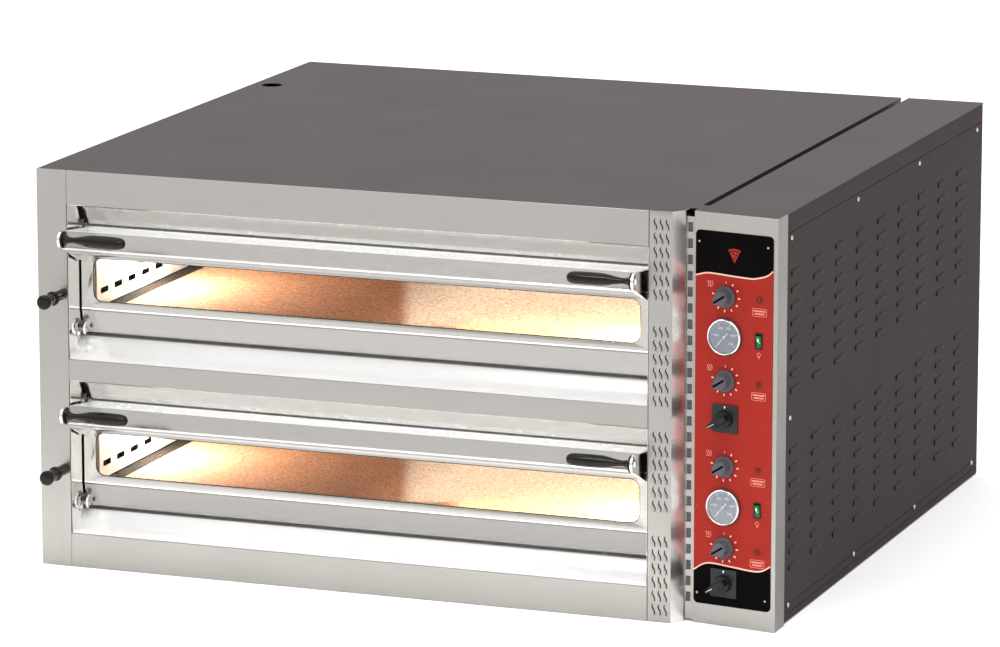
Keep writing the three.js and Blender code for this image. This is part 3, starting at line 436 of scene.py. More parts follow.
# ---- mesh building ----
class Part:
    """Gathers surfaces drawn in a local frame and turns them into one object in the row frame."""

    def __init__(self, place):
        self.place = place
        self.bm = bmesh.new()
        self.materials = []

    def add(self, points, faces, material, turn=Matrix()):
        matrix = self.place @ turn
        flip = matrix.determinant() < 0
        if material not in self.materials:
            self.materials.append(material)
        index = self.materials.index(material)
        corners = [self.bm.verts.new(matrix @ Vector(point)) for point in points]
        for face in faces:
            ring = [corners[i] for i in face]
            made = self.bm.faces.new(ring[::-1] if flip else ring)
            made.material_index = index
            made.smooth = True

    def grid(self, rows, material, turn=Matrix(), closed=False):
        width = len(rows[0])
        faces = []
        for r in range(len(rows) - 1):
            for c in range(width if closed else width - 1):
                d = (c + 1) % width
                faces.append((r * width + c, r * width + d, (r + 1) * width + d, (r + 1) * width + c))
        self.add([point for row in rows for point in row], faces, material, turn)

    def lathe(self, profile, material, turn=Matrix(), sides=40):
        """Turns (radius, height) points about local Z."""
        angles = [2 * pi * i / sides for i in range(sides)]
        rows = [[(r * cos(a), r * sin(a), h) for a in angles] for r, h in profile]
        self.grid(rows, material, turn, closed=True)

    def plate(self, loops, low, high, material, turn=Matrix()):
        """A flat closed solid on local X-Y from low to high; loops after the first are holes."""
        flat = [point for loop in loops for point in loop]
        count = len(flat)
        filled = tessellate_polygon([[Vector((x, y, 0)) for x, y in loop] for loop in loops])
        points = [(x, y, low) for x, y in flat] + [(x, y, high) for x, y in flat]
        faces = [tuple(t) for t in filled] + [tuple(i + count for i in t) for t in filled]
        start = 0
        for loop in loops:
            size = len(loop)
            for i in range(size):
                a, b = start + i, start + (i + 1) % size
                faces.append((a, b, b + count, a + count))
            start += size
        self.add(points, faces, material, turn)

    def window(self, loops, material, turn=Matrix()):
        """A flat surface on local X-Y that faces +Z, with the later loops as holes."""
        flat = [point for loop in loops for point in loop]
        filled = tessellate_polygon([[Vector((x, y, 0)) for x, y in loop] for loop in loops])
        faces = []
        for a, b, c in filled:
            (ax, ay), (bx, by), (cx, cy) = flat[a], flat[b], flat[c]
            left = (bx - ax) * (cy - ay) - (by - ay) * (cx - ax) > 0
            faces.append((a, b, c) if left else (a, c, b))
        self.add([(x, y, 0) for x, y in flat], faces, material, turn)

    def strip_x(self, line, x0, x1, material):
        """A folded surface: the line, in Y-Z, drawn along X. It faces right of the line's direction."""
        self.grid([[(x0, y, z), (x1, y, z)] for y, z in line], material)

    def strip_z(self, line, z0, z1, material):
        """The same for a line in X-Y drawn up Z. It faces right of the line's direction."""
        self.grid([[(x, y, z0) for x, y in line], [(x, y, z1) for x, y in line]], material)

    def finish(self, name, body, replaces=(), sheet=0.0, bevel=0.0, segments=2, sharp=32):
        bmesh.ops.remove_doubles(self.bm, verts=self.bm.verts, dist=WELD * MM)
        if not sheet:
            bmesh.ops.recalc_face_normals(self.bm, faces=self.bm.faces)
        mesh = bpy.data.meshes.new(name)
        self.bm.to_mesh(mesh)
        self.bm.free()
        for material in self.materials:
            mesh.materials.append(material)
        mesh.set_sharp_from_angle(angle=radians(sharp))
        piece = bpy.data.objects.new(name, mesh)
        bpy.context.scene.collection.objects.link(piece)
        if sheet:
            solid = piece.modifiers.new("thickness", "SOLIDIFY")
            solid.thickness = sheet * MM
            solid.offset = -1.0
        round_edges(piece, bevel, segments)
        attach(piece, body)
        if replaces:
            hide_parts(*replaces)
        return piece


def round_edges(piece, width, segments=2):
    if width:
        bevel = piece.modifiers.new("edges", "BEVEL")
        bevel.width = width * MM
        bevel.segments = segments
        bevel.limit_method = "ANGLE"
        bevel.angle_limit = radians(38)
        bevel.use_clamp_overlap = False
    piece.modifiers.new("shading", "WEIGHTED_NORMAL").keep_sharp = True


def rounded_line(points, radius, steps=4):
    """An open line through the points, each corner turned into an arc."""
    line = [tuple(points[0])]
    for before, corner, after in zip(points, points[1:], points[2:]):
        at, back, on = Vector(corner), Vector(before), Vector(after)
        to_back, to_on = (back - at).normalized(), (on - at).normalized()
        half = to_back.angle(to_on) / 2
        reach = min(radius / tan(half), 0.45 * (back - at).length, 0.45 * (on - at).length)
        centre = at + (to_back + to_on).normalized() * reach / cos(half)
        first, last = at + to_back * reach - centre, at + to_on * reach - centre
        start = atan2(first.y, first.x)
        sweep = (atan2(last.y, last.x) - start + pi) % (2 * pi) - pi
        for i in range(steps + 1):
            angle = start + sweep * i / steps
            line.append((centre.x + first.length * cos(angle), centre.y + first.length * sin(angle)))
    line.append(tuple(points[-1]))
    return line


def rounded_rectangle(x0, x1, y0, y1, radius, steps=5):
    loop = []
    corners = ((x1, y1, 0), (x0, y1, 1), (x0, y0, 2), (x1, y0, 3))
    for x, y, quarter in corners:
        cx = x - radius if x == x1 else x + radius
        cy = y - radius if y == y1 else y + radius
        for i in range(steps + 1):
            angle = (quarter + i / steps) * pi / 2
            loop.append((cx + radius * cos(angle), cy + radius * sin(angle)))
    return loop


def centred(x, y, half_x, half_y, radius, steps=5):
    return rounded_rectangle(x - half_x, x + half_x, y - half_y, y + half_y, radius, steps)


def disc(x, y, radius, sides=24, phase=0.0):
    return [(x + radius * cos(phase + 2 * pi * i / sides), y + radius * sin(phase + 2 * pi * i / sides))
            for i in range(sides)]


def arc(x, y, radius, start, sweep, steps=12):
    """Points round a centre, with angles in degrees."""
    return [(x + radius * cos(a), y + radius * sin(a))
            for a in (radians(start + sweep * i / steps) for i in range(steps + 1))]


def smooth_profile(points, steps=5):
    """A Catmull-Rom line through turned-profile points."""
    line = []
    for i in range(len(points) - 1):
        a, b, c, d = (Vector(points[max(0, min(len(points) - 1, i + k))]) for k in (-1, 0, 1, 2))
        for s in range(steps):
            t = s / steps
            p = 0.5 * (2 * b + (c - a) * t + (2 * a - 5 * b + 4 * c - d) * t * t
                       + (3 * b - a - 3 * c + d) * t ** 3)
            line.append((max(p.x, 0.0), p.y))
    line.append(tuple(points[-1]))
    return line


def at(x, y, z=0.0):
    return Matrix.Translation((x, y, z))


def cross(reach, half):
    """Outline of a cross recess."""
    a, b = reach, half
    return [(a, b), (b, b), (b, a), (-b, a), (-b, b), (-a, b), (-a, -b), (-b, -b), (-b, -a), (b, -a),
            (b, -b),
            (a, -b)]


def screw(part, turn, radius=3.6, height=1.9, material=SCREW_STEEL, spin=0.4):
    """A pan head with a cross recess, standing on local Z = 0."""
    turn = turn @ Matrix.Rotation(spin, 4, "Z")
    flat = 0.66 * radius
    dome = [(radius, 0), (radius, 0.25 * height), (0.95 * radius, 0.55 * height),
            (0.82 * radius, 0.86 * height),
            (flat, height)]
    part.lathe(dome, material, turn, 24)
    slot = cross(0.56 * radius, 0.13 * radius)
    part.window([disc(0, 0, flat, 24), slot], material, turn @ at(0, 0, height))
    part.grid([[(x, y, height) for x, y in slot], [(x, y, 0.35 * height) for x, y in slot]], material, turn,
              closed=True)
    part.window([slot], material, turn @ at(0, 0, 0.35 * height))
    part.window([disc(0, 0, radius, 24)], material, turn)


def bolt(part, turn, across=8.0, height=3.4, material=CHROME):
    """A hexagon head on a thin washer, standing on local Z = 0."""
    part.lathe([(0, 0), (0.72 * across, 0), (0.72 * across, 0.7), (0.66 * across, 0.9), (0, 0.9)],
               material, turn, 28)
    corner = across / 2 / cos(pi / 6)
    rows = []
    for shrink, z in ((1.0, 0.9), (1.0, height - 0.5), (0.86, height), (0.0, height)):
        rows.append([(x, y, z) for x, y in disc(0, 0, corner * shrink, 6)])
    part.grid([[(0, 0, 0.9)] * 6, *rows], material, turn, closed=True)


def gap_backing():
    """Grey-black strip behind the slotted gap strip, painted shade seen through its holes."""
    low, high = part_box("gap_strip")
    part = Part(CASE)
    outline = rounded_rectangle(low.x / MM + 2, high.x / MM - 2, low.z / MM + 3, high.z / MM - 3, 1.0, 3)
    depth = (low.y - FRONT) / MM + 2.6
    part.plate([outline], -depth - 0.6, -depth, GAP_SHADE_SHEET, OUTWARD)
    part.finish("gap_shade_backing", "case")


# ---- carried-over CAD nodes ----
def dress(node, material, edge=0.0):
    """Gives a CAD node its material and softens its edges without touching its mesh."""
    piece = frame["nodes"][node]
    piece.data.materials.clear()
    piece.data.materials.append(material)
    weld = piece.modifiers.new("weld", "WELD")
    weld.merge_threshold = WELD * MM
    round_edges(piece, edge)
    if not edge:
        piece.modifiers.remove(piece.modifiers["shading"])


def dress_case():
    for node in ("left_pillar", "gap_strip"):
        dress(node, BRUSHED_Z, 0.6)
    dress("control_front", CONTROL_STEEL_SHADED_SIDE, 0.6)
    for node in ("bottom_fascia", "middle_fascia", "top_fascia"):
        dress(node, BRUSHED_X, 0.6)
    for node in ("top_cover", "control_top_cover", "body_shell", "control_shell"):
        dress(node, DARK_SHEET, 0.3)
    dress("cable_gland", BLACK_PLASTIC, 0.4)
    dress("base_panel", MILL, 0.3)
    dress("insulation_middle", WOOL)
    dress("insulation_top", WOOL)
    dress("control_plate", PLATE_SHEET, 0.15)
    for level in LEVELS:
        dress(f"{level}_chamber", CHAMBER_STEEL)
        dress(f"{level}_stone_floor", STONE, 0.6)
        dress(f"{level}_door_glass", GLASS)
        dress(f"{level}_door_liner", MILL, 0.2)
        # the dampers show through the wall slots; their near-black colour is soot and painted shade
        dress(f"{level}_damper", SOOT_AND_SHADE, 0.2)
        dress(f"{level}_steam_duct", SOOT_AND_SHADE)
        for node in ("top_element", "bottom_element"):
            dress(f"{level}_{node}", ROD)


# ---- case ----
def s_slot(x, z):
    """Outline of one S-shaped vent slot."""
    half_height, sway, lean, half_width, steps = VENT_HEIGHT / 2, 2.0, 0.6, 1.5, 12
    right, left = [], []
    for i in range(steps + 1):
        t = 2 * i / steps - 1
        middle = x - lean * t - sway * sin(pi * t)
        half = half_width * (1 - 0.55 * abs(t))
        right.append((middle + half, z + half_height * t))
        left.append((middle - half, z + half_height * t))
    return right + left[::-1]


def vent_pillar():
    """The folded pillar; its face is laid in cells so that each slot has one of its own."""
    part = Part(CASE)
    line = rounded_line([(RECESS[1], PILLAR_RETURN), (RECESS[1], 0), CHAMFER[0], CHAMFER[1],
                         (CHAMFER[1][0], 46)],
                        2.0)
    flat = [i for i, (x, y) in enumerate(line) if abs(y) < 1e-6]
    first, last = flat[0], flat[-1]
    part.strip_z(line[:first + 1], 0, HEIGHT, BRUSHED_Z)
    part.strip_z(line[last:last + 5], 0, HEIGHT, BRUSHED_Z)
    # the chamfer gets the brighter copy of the steel: painted light
    part.strip_z(line[last + 4:], 0, HEIGHT, CHAMFER_LIT_STEEL)
    middles = [(a + b) / 2 for a, b in zip(VENT_COLUMNS, VENT_COLUMNS[1:])]
    columns = [line[first][0], *middles, line[last][0]]
    rows = [(centre + (row - 2.5) * VENT_PITCH) for centre in VENT_GROUPS for row in range(6)]
    edges = sorted({0.0, HEIGHT, *(z + s * VENT_PITCH / 2 for z in rows for s in (-1, 1))})
    edges = [z for z, after in zip(edges, edges[1:] + [HEIGHT + 1]) if after - z > 0.01]
    for z0, z1 in zip(edges, edges[1:]):
        row = [z for z in rows if z0 < z < z1 and z1 - z0 < VENT_PITCH + 1]
        for x0, x1, x in zip(columns, columns[1:], VENT_COLUMNS):
            cell = [(x0, z0), (x1, z0), (x1, z1), (x0, z1)]
            part.window([cell, *(s_slot(x, z) for z in row)], BRUSHED_Z, OUTWARD)
    part.finish("vent_pillar_panel", "case", ["vent_pillar"], sheet=SHEET)
    # a near-black sheet behind the vent slots: painted shade seen through them
    slot_shade_sheet = Part(CASE)
    outline = rounded_rectangle(VENT_COLUMNS[0] - 7, VENT_COLUMNS[-1] + 6, 6, HEIGHT - 8, 3, 3)
    slot_shade_sheet.plate([outline], -5.0, -4.2, SOOT_AND_SHADE, OUTWARD)
    slot_shade_sheet.finish("vent_pillar_slot_shade", "case", bevel=0.2)


LOUVRE_DEPTHS = (111, 236, 362, 486, 611, 739, 863.5, 992, 1115)
LOUVRE_TOPS = (608.5, 298.3)
LOUVRE_PITCH = 29.15
LOUVRE_ROWS = 8
LOUVRE = (60.0, 10.0, 2.3)
SEAMS = (15.0, 31.0, 680.0)
SEAM_WIDTH = 1.1


def spans(start, end, gaps):
    """Cuts start..end into alternating plain and open spans; gaps are (centre, width)."""
    edges = [start] + [centre + s * width / 2 for centre, width in sorted(gaps) for s in (-1, 1)] + [end]
    return list(zip(edges, edges[1:], [None if i % 2 == 0 else i // 2 for i in range(len(edges) - 1)]))


def side_panel():
    """Right side: a sheet lanced and pressed into rows of louvres that open towards the front."""
    low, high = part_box("right_side_panel")
    face = high.x / MM
    length, height, rise = LOUVRE
    centres = [top - row * LOUVRE_PITCH for top in LOUVRE_TOPS for row in range(LOUVRE_ROWS)]
    columns = spans((low.y - FRONT) / MM, (high.y - FRONT) / MM, [(y, length) for y in LOUVRE_DEPTHS])
    gaps = sorted([(z, height) for z in centres] + [(z, SEAM_WIDTH) for z in SEAMS])
    panel = Part(CASE)
    for za, zb, gap in spans(low.z / MM, high.z / MM, gaps):
        seam = gap is not None and gaps[gap][0] in SEAMS
        for ya, yb, column in columns:
            if seam or (gap is not None and column is not None):
                continue
            panel.add([(face, ya, za), (face, yb, za), (face, yb, zb), (face, ya, zb)], [(0, 1, 2, 3)],
                      SIDE_SHEET_SHADED)
    panel.finish("side_panel_sheet", "case", ["right_side_panel"], sheet=1.1)
    bumps = Part(CASE)
    along, across = 10, 8
    for y in LOUVRE_DEPTHS:
        for z in centres:
            rows = []
            for i in range(along + 1):
                t = i / along
                lift = rise * cos(pi / 2 * max(0.0, (t - 0.35) / 0.65)) ** 0.8
                rows.append([(face - 0.05 + lift * sin(pi * k / across) ** 0.8, y + (t - 0.5) * length,
                              z + height / 2 * cos(pi * k / across)) for k in range(across + 1)])
            bumps.grid(rows, SIDE_SHEET_SHADED)
    bumps.finish("side_panel_louvres", "case", sheet=0.8, sharp=60)


SIDE_SCREWS_Y = (80, 461, 838, 1217)


def case_screws():
    outward = Matrix.Rotation(pi / 2, 4, "Y")
    part = Part(CASE)
    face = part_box("right_side_panel")[1].x / MM
    for y in SIDE_SCREWS_Y:
        for z in (670, 30):
            screw(part, at(face, y, z) @ outward, 4.2, 2.0, SCREW_STEEL, 0.3 + y)
    screw(part, at(face, 80, 358) @ outward, 4.2, 2.0, SCREW_STEEL, 1.1)
    part.finish("side_panel_screws", "case")


def left_panel():
    """Left sheet set a little inside the pillar's wrap, held by round-headed screws."""
    low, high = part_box("left_side_panel")
    y0, y1, z0, z1 = ((low.y - FRONT) / MM, (high.y - FRONT) / MM, low.z / MM, high.z / MM)
    inner, outer = low.x / MM + SHEET, low.x / MM + PANEL_INSET
    part = Part(CASE)
    part.plate([rounded_rectangle(y0, y1, z0, z1, 1.5, 3)], outer, inner, SIDE_SHEET_SHADED, SIDEWAYS)
    part.finish("left_panel_sheet", "case", ["left_side_panel"], bevel=0.2)
    screws = Part(CASE)
    outward = Matrix.Rotation(-pi / 2, 4, "Y")
    for y in SIDE_SCREWS_Y:
        for z in (z1 - 36, z0 + 26):
            screw(screws, at(outer, y, z) @ outward, 4.2, PANEL_INSET - 0.1, SCREW_STEEL, 0.2 + y)
    screws.finish("left_panel_screws", "case")


def rear_cover():
    """Screwed access plate on the back of the body, and the screws of the back sheet."""
    back = (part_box("body_shell")[1].y - FRONT) / MM
    part = Part(CASE)
    x0, x1, z0, z1 = REAR_PLATE
    part.plate([rounded_rectangle(x0, x1, z0, z1, 10, 6)], -back - 1.3, -back - 0.1, DARK_SHEET, OUTWARD)
    part.finish("rear_access_plate", "case", bevel=0.3)
    screws = Part(CASE)
    backward = Matrix.Rotation(-pi / 2, 4, "X")
    for x in (x0 + 14, (x0 + x1) / 2, x1 - 14):
        for z in (z0 + 14, z1 - 14):
            screw(screws, at(x, back + 1.3, z) @ backward, 4.2, 2.0, SCREW_STEEL, 0.4 * x)
    for x in (-660, -330, 0, 330, 500):
        for z in (30, 690):
            screw(screws, at(x, back, z) @ backward, 4.2, 2.0, SCREW_STEEL, 0.7 * x)
    screws.finish("rear_screws", "case")


# ---- one deck ----
def recess_lining(level):
    part = Part(DECK[level])
    x0, x1 = RECESS[0] + GAP, RECESS[1] - GAP
    front = SHEET + 0.4
    top = rounded_line([(front, RECESS_HEIGHT - 0.6), (SLOPE_DEPTH, DEFLECTOR_Z),
                        (RECESS_DEPTH, DEFLECTOR_Z)], 4.0)
    sill = rounded_line([(RECESS_DEPTH, SILL_RISE), (SLOPE_DEPTH, SILL_RISE), (front, 0.4)], 4.0)
    # the deflector gets a darker copy and the sill a near-white copy of the polished sheet: painted shade and
    # painted reflection
    part.strip_x(top[::-1], x0, x1, DEFLECTOR_SHADED_STEEL)
    part.strip_x(sill[::-1], x0, x1, SILL_LIT_STEEL)
    for x, direction in ((x0 + SHEET, 1), (x1 - SHEET, -1)):
        jamb = [(front, 0.6), (SLOPE_DEPTH, SILL_RISE + 0.2), (RECESS_DEPTH, SILL_RISE + 0.2),
                (RECESS_DEPTH, DEFLECTOR_Z - 0.2), (SLOPE_DEPTH, DEFLECTOR_Z - 0.2),
                (front, RECESS_HEIGHT - 0.8)]
        points = [(x, y, z) for y, z in jamb]
        part.add(points, [tuple(range(6)) if direction > 0 else tuple(range(6))[::-1]], POLISHED)
    part.finish(f"{level}_recess_lining", "case", [f"{level}_surround"], sheet=1.4)


def bead(before, crease, after, reach=3.5, rise=1.2, steps=BEAD_STEPS):
    """A fold of the door that stands out as a low roll."""
    back, at_fold, on = Vector(before), Vector(crease), Vector(after)
    start = at_fold + (back - at_fold).normalized() * reach
    end = at_fold + (on - at_fold).normalized() * reach
    line = []
    for i in range(steps + 1):
        t = i / steps
        base = start.lerp(at_fold, 2 * t) if t < 0.5 else at_fold.lerp(end, 2 * t - 1)
        line.append((base.x - rise * sin(pi * t) ** 2, base.y))
    return line


def door_front(level):
    """The door's folded skin with its rounded window, and its two end plates."""
    outline = DOOR_OUTLINE
    low = rounded_line(outline[:3], FOLD)
    high = rounded_line(outline[3:], FOLD)
    line = low[:-1] + bead(*outline[1:4]) + bead(*outline[2:5]) + high[1:]
    flat = [i for i, (y, z) in enumerate(line) if abs(y - DOOR_FACE) < 1e-6]
    first, last = flat[0], flat[-1]
    x0, x1 = DOOR
    part = Part(DECK[level])
    half = BEAD_STEPS // 2
    # the fold rolls and the top fold get the near-white copy, a painted highlight
    for start, end, material in ((0, first - half, DOOR_STEEL_SHADED_BELOW), (first - half, first - 1, FOLD_HIGHLIGHT_STEEL),
                                 (first - 1, first, DOOR_STEEL_SHADED_BELOW), (last, last + half, DOOR_STEEL_SHADED_BELOW),
                                 (last + half, last + 2 * half - 1, FOLD_HIGHLIGHT_STEEL),
                                 (last + 2 * half - 1, last + 2 * half + 1, DOOR_STEEL_SHADED_BELOW),
                                 (last + 2 * half + 1, len(line) - 1, FOLD_HIGHLIGHT_STEEL)):
        part.strip_x(line[start:end + 1], x0, x1, material)
    z0, z1 = line[first][1], line[last][1]
    hole = rounded_rectangle(*WINDOW, WINDOW_RADIUS, 10)
    part.window([[(x0, z0), (x1, z0), (x1, z1), (x0, z1)], hole], DOOR_STEEL_SHADED_BELOW, at(0, DOOR_FACE) @ OUTWARD)
    part.finish(f"{level}_door_front", f"{level}_door", [f"{level}_door_skin"],
                sheet=SHEET,
                sharp=40)
    ends = Part(DECK[level])
    inside = [(y + (1.7 if y < 80 else -0.5), z + (1.7 if z < 60 else -1.8 if z > 200 else 0))
              for y, z in rounded_line(outline, FOLD)]
    for x in (x0 + 0.2, x1 - 0.2 - SHEET):
        ends.plate([inside], x, x + SHEET, DOOR_STEEL_SHADED_BELOW, SIDEWAYS)
    ends.finish(f"{level}_door_ends", f"{level}_door", bevel=0.25)


def door_arms(level):
    """Side arms that carry the handles, and the lugs that turn on the hinge pins."""
    y, z, radius = EAR
    for side in SIDES:
        part = Part(DECK[level])
        start = DOOR[0] + ARM_INSET if side == "left" else DOOR[1] - ARM_INSET - ARM_SHEET
        arc = [(y + radius * cos(radians(a)), z + radius * sin(radians(a))) for a in range(93, 239, 6)]
        outline = arc + [(51, ARM_ROOT_Z), (51, 187), (62, 217), (67, 227)]
        part.plate([outline], start, start + ARM_SHEET, CHROME, SIDEWAYS)
        lug = DOOR[0] + LUG_INSET if side == "left" else DOOR[1] - LUG_INSET - LUG_SHEET
        shape = rounded_line(LUG_OUTLINE, 3.0)
        part.plate([shape, disc(PIVOT[0], PIVOT[1], 4.6)], lug, lug + LUG_SHEET, CHROME, SIDEWAYS)
        part.finish(f"{level}_{side}_arm", f"{level}_door", bevel=0.6)
        cap = Part(DECK[level])
        outward = Matrix.Rotation(-pi / 2 if side == "left" else pi / 2, 4, "Y")
        outer = start if side == "left" else start + ARM_SHEET
        cap.lathe([(0, 0.05), (7.2, 0.05), (7.2, 0.6), (6.8, 0.9), (0, 0.9)], CHROME,
                  at(outer, y, z) @ outward)
        screw(cap, at(outer, y, z) @ outward @ at(0, 0, 0.9), 5.0, 1.9, CHROME)
        cap.finish(f"{level}_{side}_arm_screw", f"{level}_door")


HANDLE_PROFILE = [(15, 0.6), (15, 3), (8.4, 6), (5.4, 14), (5.4, 22), (7.4, 34), (10.6, 50), (11.3, 68),
                  (11.3, 92),
                  (10.4, 108), (7.4, 115.9)]


def door_handles(level):
    for side in SIDES:
        part = Part(DECK[level])
        sign = 1 if side == "left" else -1
        reach = ARM_INSET + ARM_SHEET + GAP
        face = DOOR[0] + reach if side == "left" else DOOR[1] - reach
        inward = Matrix.Rotation(sign * pi / 2, 4, "Y")
        collar = [(0, 0), (14.4, 0), (15, HANDLE_PROFILE[0][1])]
        profile = collar + smooth_profile(HANDLE_PROFILE[1:], 5) + [(3.5, 118.1), (0, 118.5)]
        part.lathe(profile, BAKELITE, at(face, EAR[0], EAR[1]) @ inward, 48)
        part.finish(f"{level}_{side}_handle_grip", f"{level}_door",
                    [f"{level}_{side}_handle"], sharp=50)


def window_seal(level):
    """Dark seal that shows as a line round the window."""
    part = Part(DECK[level])
    x0, x1, z0, z1 = WINDOW
    outer = rounded_rectangle(x0 - 5, x1 + 5, z0 - 5, z1 + 5, WINDOW_RADIUS + 5, 10)
    inner = rounded_rectangle(x0 + 1.6, x1 - 1.6, z0 + 1.6, z1 - 1.6, WINDOW_RADIUS - 1.6, 10)
    part.plate([outer, inner], -51.86, -51.55, BLACK_SEAL_AND_SHADE, OUTWARD)
    part.finish(f"{level}_window_seal", f"{level}_door")


def mouth_seal(level):
    """Black gasket round the chamber mouth, which the closed door meets."""
    part = Part(DECK[level])
    outer = rounded_rectangle(DOOR[0] + 1.5, DOOR[1] - 1.5, 41, 220, 6, 4)
    inner = rounded_rectangle(CHAMBER[0] + 2, CHAMBER[1] - 2, STONE_TOP + 1, 212, 3, 4)
    part.plate([outer, inner], -RECESS_DEPTH + 0.1, -RECESS_DEPTH + 5.6, GASKET, OUTWARD)
    part.finish(f"{level}_mouth_seal", "case", bevel=0.5)


def stone_edges(level):
    """Dark angle strips between the stone and the side walls, and a near-black strip at each wall as painted
    shadow.
    """
    low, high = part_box(f"{level}_stone_floor")
    y0, y1 = (low.y - FRONT) / MM, (high.y - FRONT) / MM
    part = Part(DECK[level])
    for wall, edge in ((CHAMBER[0], low.x / MM), (CHAMBER[1], high.x / MM)):
        step = 1 if edge > wall else -1
        groove = wall + 5 * step
        # the near-black strip at the wall is painted shadow
        for x0, x1, material in ((wall + 0.1 * step, groove, SOOT_AND_SHADE),
                                 (groove, edge + 10 * step, STONE_EDGE)):
            outline = rounded_rectangle(min(x0, x1), max(x0, x1), y0, y1, 0.8, 2)
            part.plate([outline], STONE_TOP + 0.3, STONE_TOP + 0.8, material)
    part.finish(f"{level}_stone_edge_strips", "case", bevel=0.15)


def slot_rims(level):
    """Near-black rings on the left chamber wall that reach 3 mm past each end of the steam slots, and
    near-black linings of the slots' sides as painted shade.
    """
    length, height = STEAM_SLOT["size"]
    part = Part(DECK[level])

    def ring(y, grow_y, grow_z):
        return centred(y, STEAM_SLOT["z"], length / 2 + grow_y, height / 2 + grow_z, 1.5, 3)

    for number in range(STEAM_SLOT["count"]):
        y = STEAM_SLOT["first"] + number * STEAM_SLOT["pitch"]
        part.plate([ring(y, 3.0, 0.6), ring(y, -0.1, -0.1)], CHAMBER[0] + 0.1, CHAMBER[0] + 0.35, SOOT_AND_SHADE,
                   SIDEWAYS)
        part.plate([ring(y, -0.2, -0.2), ring(y, -0.8, -0.8)], CHAMBER[0] - 1.3, CHAMBER[0] + 0.4, SOOT_AND_SHADE,
                   SIDEWAYS)
    part.finish(f"{level}_slot_rims", "case")


def hinge_brackets(level):
    for side in SIDES:
        part = Part(DECK[level])
        sign = 1 if side == "left" else -1
        jamb = RECESS[0] + GAP + SHEET if side == "left" else RECESS[1] - GAP - SHEET
        facing = Matrix(((0, 0, sign, 0), (1, 0, 0, 0), (0, 1, 0, 0), (0, 0, 0, 1)))
        base = at(jamb + sign * GAP, 0, 0) @ facing
        part.plate([rounded_rectangle(30, 64, 33, 60, 6)], 0, 2, MILL, base)
        part.lathe([(0, 0), (4, 0), (4, 14.6), (3.4, 15.3), (0, 15.3)], SCREW_STEEL, base @ at(*PIVOT), 24)
        part.finish(f"{level}_{side}_hinge", "case", [f"{level}_{side}_hinge_bracket"],
                    bevel=0.3)
        bolts = Part(DECK[level])
        bolts.lathe([(0, 0), (4.4, 0), (4.4, 0.2), (3.8, 0.3), (0, 0.3)], BLACK_SCREW,
                    base @ at(35.5, 54.5, 2), 28)
        bolt(bolts, base @ at(35.5, 39.5, 2), 7.0, 3.0, CHROME)
        bolts.finish(f"{level}_{side}_hinge_bolts", "case")


PULL_KNOB_PROFILE = [(10, 46.5), (10.4, 55), (11.6, 68), (13.1, 77), (12.9, 80.5), (11.8, 83)]


def pull_knob(level):
    low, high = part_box(f"{level}_pull_knob")
    deck = DECK[level].inverted()
    centre = deck @ ((low + high) / 2)
    part = Part(DECK[level])
    turn = at(centre.x, 0, centre.z) @ OUTWARD
    profile = [(0, 1), (9.2, 1), (9.5, 1.4), (9.5, 40), (12.2, 40.6), (12.8, 41.6), (12.8, 44.8),
               (12.0, 45.8)]
    profile += smooth_profile(PULL_KNOB_PROFILE, 4) + [(9.5, 84.2), (5, 84.8), (0, 85)]
    part.lathe(profile, BAKELITE, turn, 48)
    part.finish(f"{level}_steam_knob", f"{level}_steam_pull", [f"{level}_pull_knob"], sharp=40)


def chamber_lamps(level):
    for side in SIDES:
        _, y, z = LAMPS[side]
        wall = CHAMBER[0] if side == "left" else CHAMBER[1]
        inward = Matrix.Rotation(pi / 2 if side == "left" else -pi / 2, 4, "Y")
        part = Part(DECK[level])
        turn = at(wall, y, z) @ inward
        part.lathe([(24, 0.1), (33, 0.1), (33, 1.6), (30, 3.4), (26, 3.8), (24, 2.4), (24, 0.1)], MILL,
                   turn, 40)
        part.lathe([(0, 0.3), (24, 0.3), (24, 1.6), (20, 4.2), (12, 6.2), (0, 7.0)], LAMP_LENS, turn, 40)
        part.finish(f"{level}_{side}_lamp", "case")


# ---- controls ----
def pointer_turn(x, z, angle):
    """Local X of the piece points where the pointer does; local Z stands out of the front."""
    return at(x, z) @ Matrix.Rotation(angle, 4, "Z")


def thermostats():
    for name, z in THERMOSTATS.items():
        part = Part(PANEL)
        turn = pointer_turn(THERMOSTAT_X, z, THERMOSTAT_ANGLE)
        flutes = 40
        rows = []
        for radius, height in ((0, 2.0), (18.4, 2.0), (18.9, 2.8), (18.6, 6.0), (16.6, 8.4), (0, 8.8)):
            ripple = 0.35 if 10 < radius and height < 7 else 0.0
            rows.append([((radius + ripple * cos(flutes * a)) * cos(a),
                          (radius + ripple * cos(flutes * a)) * sin(a),
                          height) for a in (2 * pi * i / (4 * flutes) for i in range(4 * flutes))])
        part.grid(rows, MOULDED, turn, closed=True)
        grip = [(13.6 * cos(a), 13.6 * sin(a)) for a in (radians(50 + 10 * i) for i in range(27))]
        outline = grip + [(17.4, -3.0), (18.0, 0.0), (17.4, 3.0)]
        layers = []
        for shrink, height in ((1.0, 8.0), (0.97, 20.0), (0.93, 23.2), (0.84, 24.0), (0.0, 24.0)):
            layers.append([(px * shrink, py * shrink * (0.9 if height > 10 else 1), height) for px,
                           py in outline])
        part.grid([[(0, 0, 8.0)] * len(outline), *layers], MOULDED, turn, closed=True)
        part.plate([rounded_rectangle(-10.5, 15.2, -1.9, 1.9, 1.6, 3)], 23.9, 24.15, BLACK_PRINT, turn)
        part.lathe([(0, -11), (3, -11), (3, 2.4), (0, 2.4)], SCREW_STEEL, turn, 16)
        part.finish(f"{name}_thermostat_dial_knob", f"{name}_thermostat",
                    [f"{name}_thermostat_knob"], sharp=40)


